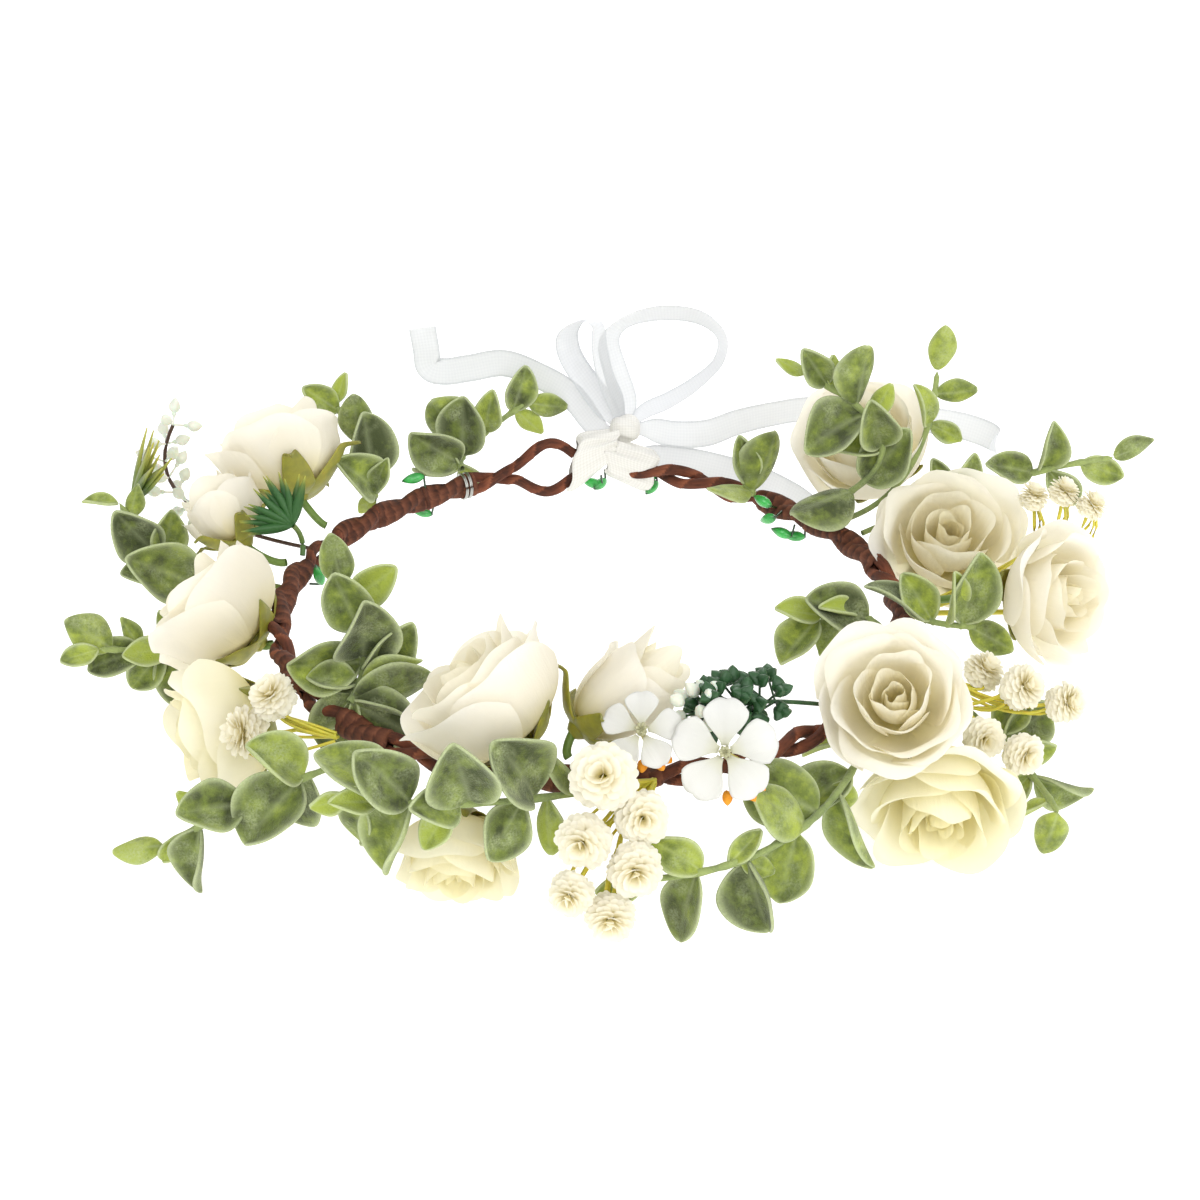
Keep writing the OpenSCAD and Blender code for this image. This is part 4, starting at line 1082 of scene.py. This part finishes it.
# across and up from the middle of the blossom, as shares of its radius
ANTHERS = [(.66, -.62), (.05, -.86), (.5, -.8)]
for number, (a, side, centre, az, el, r) in enumerate(BLOSSOMS, 1):
    rng = np.random.default_rng(330 + number)
    centre, way = np.array(centre, float), heading(az, el)
    spin = facing(way)
    t = np.linspace(0, 1, 16)[None, :, None]
    s = np.linspace(-1, 1, 15)[None, None, :]
    k = (np.arange(5) * 72 + 18 + rng.uniform(-5, 5, 5))[:, None, None] * np.pi / 180
    reach = t * (1 - .3 * np.abs(s) ** 2.6 - .04 * np.exp(-(s / .16) ** 2))
    half = r * (.07 + .36 * np.sin(np.pi / 2 * np.clip(reach / .68, 0, 1)) ** 1.6)
    x, y = TUBE_R + reach * r * .9, s * half
    z = 1.6 * reach - 2.2 * reach ** 3 + .1 * r * s ** 2 * reach
    z = z + .5 * np.sin(4 * s + 2 * k) * reach ** 2 + .45 * (k % .3)
    local = np.stack(np.broadcast_arrays(x * np.cos(k) - y * np.sin(k), x * np.sin(k) + y * np.cos(k), z), -1)
    uv = np.stack(np.broadcast_arrays(y + 30 * k, x), -1)
    # reach sets where the silk is painted with its heart colour, partly dyed colour and partly painted shade
    # near the blossom's centre
    petals = piece(f"blossom_{number}_petals", [{
        "at": centre + local @ spin.T, "uv": uv, "reach": np.broadcast_to(.25 + .8 * reach, local.shape[:3]),
        "core": 0.0}], [BLOSSOM_SILK])
    thicken(petals, 0.3)
    dress(petals, f"blossom_{number}")

    throat = {"at": centre + THROAT @ spin.T, "wraps": True}
    stamens = []
    for q in range(7):
        lean = heading(51 * q + 20, 62)
        stamen = tube(straight([0, 0, .8], 3.2 * lean, 6), STAMEN_R, 7)
        stamens.append(stamen | {"at": centre + stamen["at"] @ spin.T})
    anthers = []
    for dx, dy in ANTHERS:
        place = centre + np.array([dx * r, dy * r, -2.4]) @ spin.T
        drop, _ = bud(place, unit(spin @ np.array([dx, dy, .4])), 4.2, 1.3, .12)
        anthers.append({"at": drop[None], "wraps": True, "paint": 1})
    foot = bind_at(a, side)
    stem = tube(bowed(foot, (foot + centre) / 2 - way * 1.5, centre - 2.0 * way, 12), .6, 8) | {"paint": 2}
    middle = piece(f"blossom_{number}_middle", [throat, *stamens, *anthers, stem],
                   [BLOSSOM_SILK, POLLEN, YELLOW_STEM], weld=0.05)
    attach(middle, "crown")
print("blossoms:", len(BLOSSOMS))

# %% [markdown]
# ## Budded fillers
# Rows of three buds stand round a thin stem on short arms. The leafy kind is dark green, with three
# small leaves at each arm and white buds only towards its tip. The other kind has white arms and buds
# on a brown wire.

# %% Bud sprigs
def drops(made, paint):
    """Several drops as one set of grids, with their ends marked."""
    ends = .35 * np.stack([t for _, t in made])
    return {"at": np.stack([at for at, _ in made]), "wraps": True, "tip": ends, "paint": paint}


# shares of the stem where the arms begin, where the leafy kind's white buds begin and its leaves end
ARMS_FROM, WHITE_FROM, LEAVES_TO = .34, .7, .84
for number, (a, side, middle, tip_at, count, arm_long, is_leafy) in enumerate(BUD_SPRIGS, 1):
    rng = np.random.default_rng(350 + number)
    line = bowed(bind_at(a, side), middle, tip_at, 1001)
    ways = unit(np.gradient(line, axis=0))
    green, white, arms = [], [], []
    for k in range(count):
        share = ARMS_FROM + (1 - ARMS_FROM) * k / (count - 1)
        i = int(round(share * 1000))
        u = across(ways[i])
        for arm in range(3):
            turn = math.radians(120 * arm + 47 * k)
            square_on = math.cos(turn) * u + math.sin(turn) * np.cross(ways[i], u)
            out = unit(square_on + rng.uniform(.2, .9) * ways[i])
            at = line[i] + arm_long * (.75 + .5 * rng.random()) * out
            arms.append(tube(straight(line[i], at - 1.2 * out, 4), .32, 6) | {"paint": 2 if is_leafy else 1})
            if share > WHITE_FROM or not is_leafy:
                white.append(bud(at + .9 * out, out, 5.0, 1.75, .08))
            if not is_leafy:
                white.append(bud(at - 1.6 * out, out, 2.2, .7, .1))
            elif share <= LEAVES_TO:
                for leafy in range(3):
                    sideways = math.cos(2.1 * leafy + k) * u + math.sin(2.1 * leafy + k) * np.cross(out, u)
                    tilted = unit(out + .9 * sideways)
                    green.append(bud(at - .6 * out + 1.9 * tilted, tilted, 5.2, 1.7, .25, 8, 7))
    stem = tube(line[::50], .6 * np.ones((21, 1)), 8) | {"paint": 2}
    grids = ([drops(green, 0)] if green else []) + [drops(white, 1), stem, *arms]
    wire = BUD_GREEN if is_leafy else BROWN_WIRE
    sprig = piece(f"bud_sprig_{number}_buds", grids, [wire, BUD_WHITE, wire], weld=0.03)
    dress(sprig, f"bud_sprig_{number}")
print("bud sprigs:", len(BUD_SPRIGS))

# %% [markdown]
# ## Palm fans
# A fan is a tuft of needles that all start at one point. Each needle is a narrow folded blade, widest in
# the middle and pale at its tip.

# %% Needles
for number, (a, side, middle, tip_at, r, az, half_fan, count, thick, pale_power) in enumerate(PALM_FANS, 1):
    rng = np.random.default_rng(370 + number)
    foot, tip_at = bind_at(a, side), np.array(tip_at, float)
    rise = unit(tip_at - bowed(foot, middle, tip_at, 21)[-2])
    face = heading(az, 20)
    up = unit(rise - (rise @ face) * face)
    wide = np.cross(face, up)
    spread = np.radians(np.linspace(-half_fan, half_fan, count) + rng.uniform(-2, 2, count))[:, None, None]
    forward = np.radians(rng.uniform(-9, 9, count))[:, None, None]
    t = np.linspace(0, 1, 12)[None, :, None]
    s = np.linspace(-1, 1, 3)[None, None, :]
    long = r * rng.uniform(.8, 1.04, count)[:, None, None]
    bow = rng.uniform(-.12, .12, count)[:, None, None]
    half = thick * np.sin(np.pi * (.04 + .94 * t) ** .72) ** 1.1 + .05
    x, y = long * t, s * half + bow * long * t ** 2
    z = long * t * np.sin(forward) + .5 * (1 - np.abs(s)) * (1 - t) + .12 * np.sin(24 * spread)
    local = [x * np.cos(spread) - y * np.sin(spread), x * np.sin(spread) + y * np.cos(spread), z]
    at = tip_at + sum(q[..., None] * d for q, d in zip(np.broadcast_arrays(*local), (up, wide, face)))
    pale = np.broadcast_to(t ** pale_power * .9 - .25, at.shape[:3])
    fan = piece(f"palm_fan_{number}_needles", [{"at": at, "tip": pale}], [PALM])
    thicken(fan, 0.35)
    dress(fan, f"palm_fan_{number}")
    stalk = piece(f"palm_fan_{number}_stalk", [tube(bowed(foot, middle, tip_at, 16), .8, 8)], [PALM])
    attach(stalk, "crown")
print("palm fans:", len(PALM_FANS))

# %% [markdown]
# ## Pips
# The pips are small lacquered beads like grains of rice, each on a short wire, darker at both ends.

# %% Rice beads
PIP_LONG, PIP_R, PIP_OUT = 7.6, 1.65, BIND_R + 1.6
beads = []
for a, side, turn in PIPS:
    out = ring_side(np.float64(a), np.float64(side))
    along = np.array([-math.sin(math.radians(a)), math.cos(math.radians(a)), 0])
    turn = math.radians(turn)
    way = unit(math.cos(turn) * along + math.sin(turn) * np.cross(along, out))
    middle = ring_at(float(a)) + PIP_OUT * out
    at, t = bud(middle, way, PIP_LONG, PIP_R, 0, 16, 17)
    beads.append({"at": at[None], "wraps": True, "tip": (np.abs(2 * t - 1) ** 6 * 1.2)[None]})
    wire_foot = ring_at(float(a)) + 3.2 * out - 3 * way
    beads.append(tube(straight(wire_foot, middle - 3.4 * way, 5), .35, 6) | {"tip": 1.0})
dress(piece("lacquered_pips", beads, [PIP], weld=0.03), "pips")
print("pips:", len(PIPS))

# %% [markdown]
# ## The ribbon
# A ribbon is a strip carried along a smooth curve through its planned points, with its width turned as
# planned. It bends only one way, so between points both the line and the width are blended smoothly. It
# is sold 10 mm wide and lies 8.6 mm wide, because its edges roll in a little.

# %% Ribbon strips
RIBBON_CUT_W, RIBBON_W = 10, 8.6
RIBBON_COLS = 13


def smooth_through(points, steps):
    """A Catmull-Rom curve: between points b and c it also leans on their outer neighbours a and d."""
    p = np.asarray(points, float)
    a, b, c, d = np.vstack([p[:1], p[:-2]]), p[:-1], p[1:], np.vstack([p[2:], p[-1:]])
    t = np.linspace(0, 1, steps, endpoint=False)[None, :, None]
    a, b, c, d = [q[:, None] for q in (a, b, c, d)]
    curve = 2 * b + (c - a) * t + (2 * a - 5 * b + 4 * c - d) * t * t + (3 * b - a - 3 * c + d) * t ** 3
    curve = .5 * curve
    return np.vstack([curve.reshape(-1, p.shape[1]), p[-1:]])


def ribbon_grid(route, steps=14, cut=0.0, both_ends=0):
    """point = line + s width / 2 wide + a slight hollow, all narrowed where it is nipped into the knot. The
    free end may be cut at a slant."""
    run = smooth_through(route, steps)
    line, wide = run[:, :3], unit(run[:, 3:])
    way = unit(np.gradient(line, axis=0))
    wide = unit(wide - (wide * way).sum(1, keepdims=True) * way)
    face = np.cross(way, wide)
    s = np.linspace(-1, 1, RIBBON_COLS)[None, :, None]
    row = np.linspace(0, 1, len(line))[:, None, None]
    slant = cut * s * (row > .999) * way[:, None]
    hollow = .35 * (1 - s ** 2) + .12 * np.sin(26 * row + 2 * s)
    length = run_along(line)
    nip = 1 - .55 * np.exp(-(length / 5.0) ** 2)
    nip = nip - .55 * both_ends * np.exp(-((length[-1] - length) / 5.0) ** 2)
    section = (s * RIBBON_W / 2 * wide[:, None] + hollow * face[:, None]) * nip[:, None, None]
    at = line[:, None] + section + slant
    uv = np.stack(np.broadcast_arrays(s[0, :, 0][None] * RIBBON_W / 2, length[:, None]), -1)
    return at[None], uv[None], length[-1]


def ribbon(name, routes, node, cut=0.0, both_ends=0):
    """One ribbon piece on the plain solid called node, with its two outer columns as woven edges."""
    grids, total = [], 0.0
    for route in routes:
        at, uv, length = ribbon_grid(route, cut=cut, both_ends=both_ends)
        grids += [{"at": at, "uv": uv}]
        total += length
    strip = piece(name, grids, [SHEER, SELVEDGE])
    column = np.arange(len(strip.data.polygons)) % (RIBBON_COLS - 1)
    at_edge = (column == 0) | (column == RIBBON_COLS - 2)
    strip.data.polygons.foreach_set("material_index", at_edge.astype(np.int32))
    dress(strip, node)
    print(name, "length", round(total), "mm")


# %% [markdown]
# The knot is one more turn of the same ribbon, pulled tight into gathered folds. The band is two bundles
# that meet behind the knot: one passes through the eye of the ring, the other round its other end.

# %% Knot and band
def gathered_band(left, right):
    """A rounded box section carried from left to right, whose outline ripples into folds that run along
    it. Each end is x, middle y, middle z, half depth, half height."""
    turn = np.linspace(0, 2 * np.pi, 97)[:-1]
    c, s = np.cos(turn)[None], np.sin(turn)[None]
    t = np.linspace(0, 1, 41)[:, None]
    x, y_mid, z_mid = [a + (b - a) * t for a, b in zip(left[:3], right[:3])]
    ease = t * t * (3 - 2 * t)
    deep, tall = [a + (b - a) * ease for a, b in zip(left[3:], right[3:])]
    fold = .07 * np.sin(7 * turn + 1.6 * t) + .05 * np.sin(13 * turn - 2.5 * t)
    fold = fold + .03 * np.sin(5 * t + 3 * turn)
    grow = (1 + (.5 + .8 * t) * fold) * (1 - .12 * np.abs(2 * t - 1) ** 12)
    y = deep * np.sign(c) * np.abs(c) ** .75 * grow
    z = tall * np.sign(s) * np.abs(s) ** .85 * grow
    x_out = x + 1.6 * s * (1 - t) + .5 * np.sin(4 * turn)
    at = np.stack(np.broadcast_arrays(x_out, y_mid + y, z_mid + z), -1)
    uv = np.stack(np.broadcast_arrays(x, turn[None] * 9), -1)
    return {"at": at[None], "wraps": True, "uv": uv[None]}


def knot_form():
    """A cushion of wrapped ribbon: a rounded barrel, r = 4.4 sin^.7 t, drawn into slanting folds."""
    t = np.linspace(0, np.pi, 25)[:, None]
    turn = np.linspace(0, 2 * np.pi, 41)[None, :-1]
    fold = 1 + .13 * np.sin(3 * turn + 2.6 * np.cos(t)) * np.sin(t) + .05 * np.sin(8 * turn + 3 * np.cos(t))
    r = 4.4 * np.sin(np.clip(t, .01, np.pi - .01)) ** .7 * fold
    at = np.stack([4.8 * -np.cos(t) + 0 * turn, r * np.cos(turn) * .9, r * np.sin(turn)], -1) + KNOT
    uv = np.stack(np.broadcast_arrays(t * 5, turn * 5), -1)
    return {"at": at[None], "wraps": True, "uv": uv[None]}


band_left = gathered_band((-5.5, 88, 7, 5.2, 9.2), (9, 91, 13.5, 4.4, 4.6))
band_right = gathered_band((20, 88, 4.5, 4.8, 6.4), (5, 90, 9.5, 4.6, 6))
knot = piece("ribbon_knot_and_band", [band_left, band_right, knot_form()], [KNOTTED], weld=0.1)
dress(knot, "ribbon_knot")

# %% Bow and tails
ribbon("organza_bow_loops", [LOOP_LEFT, LOOP_RIGHT], "ribbon_bow", both_ends=1)
ribbon("organza_tail_left", [TAIL_LEFT], "ribbon_tail_left")
ribbon("organza_tail_right", [TAIL_RIGHT], "ribbon_tail_right", cut=4)
ribbon("organza_tail_under", [TAIL_UNDER], "ribbon_tail_under", cut=3)

# %% [markdown]
# ## Finish
# The sizes of the plain frame are written down.

# %% Sizes
print("plain", [round(x, 4) for x in (*cad_low, *cad_high)])
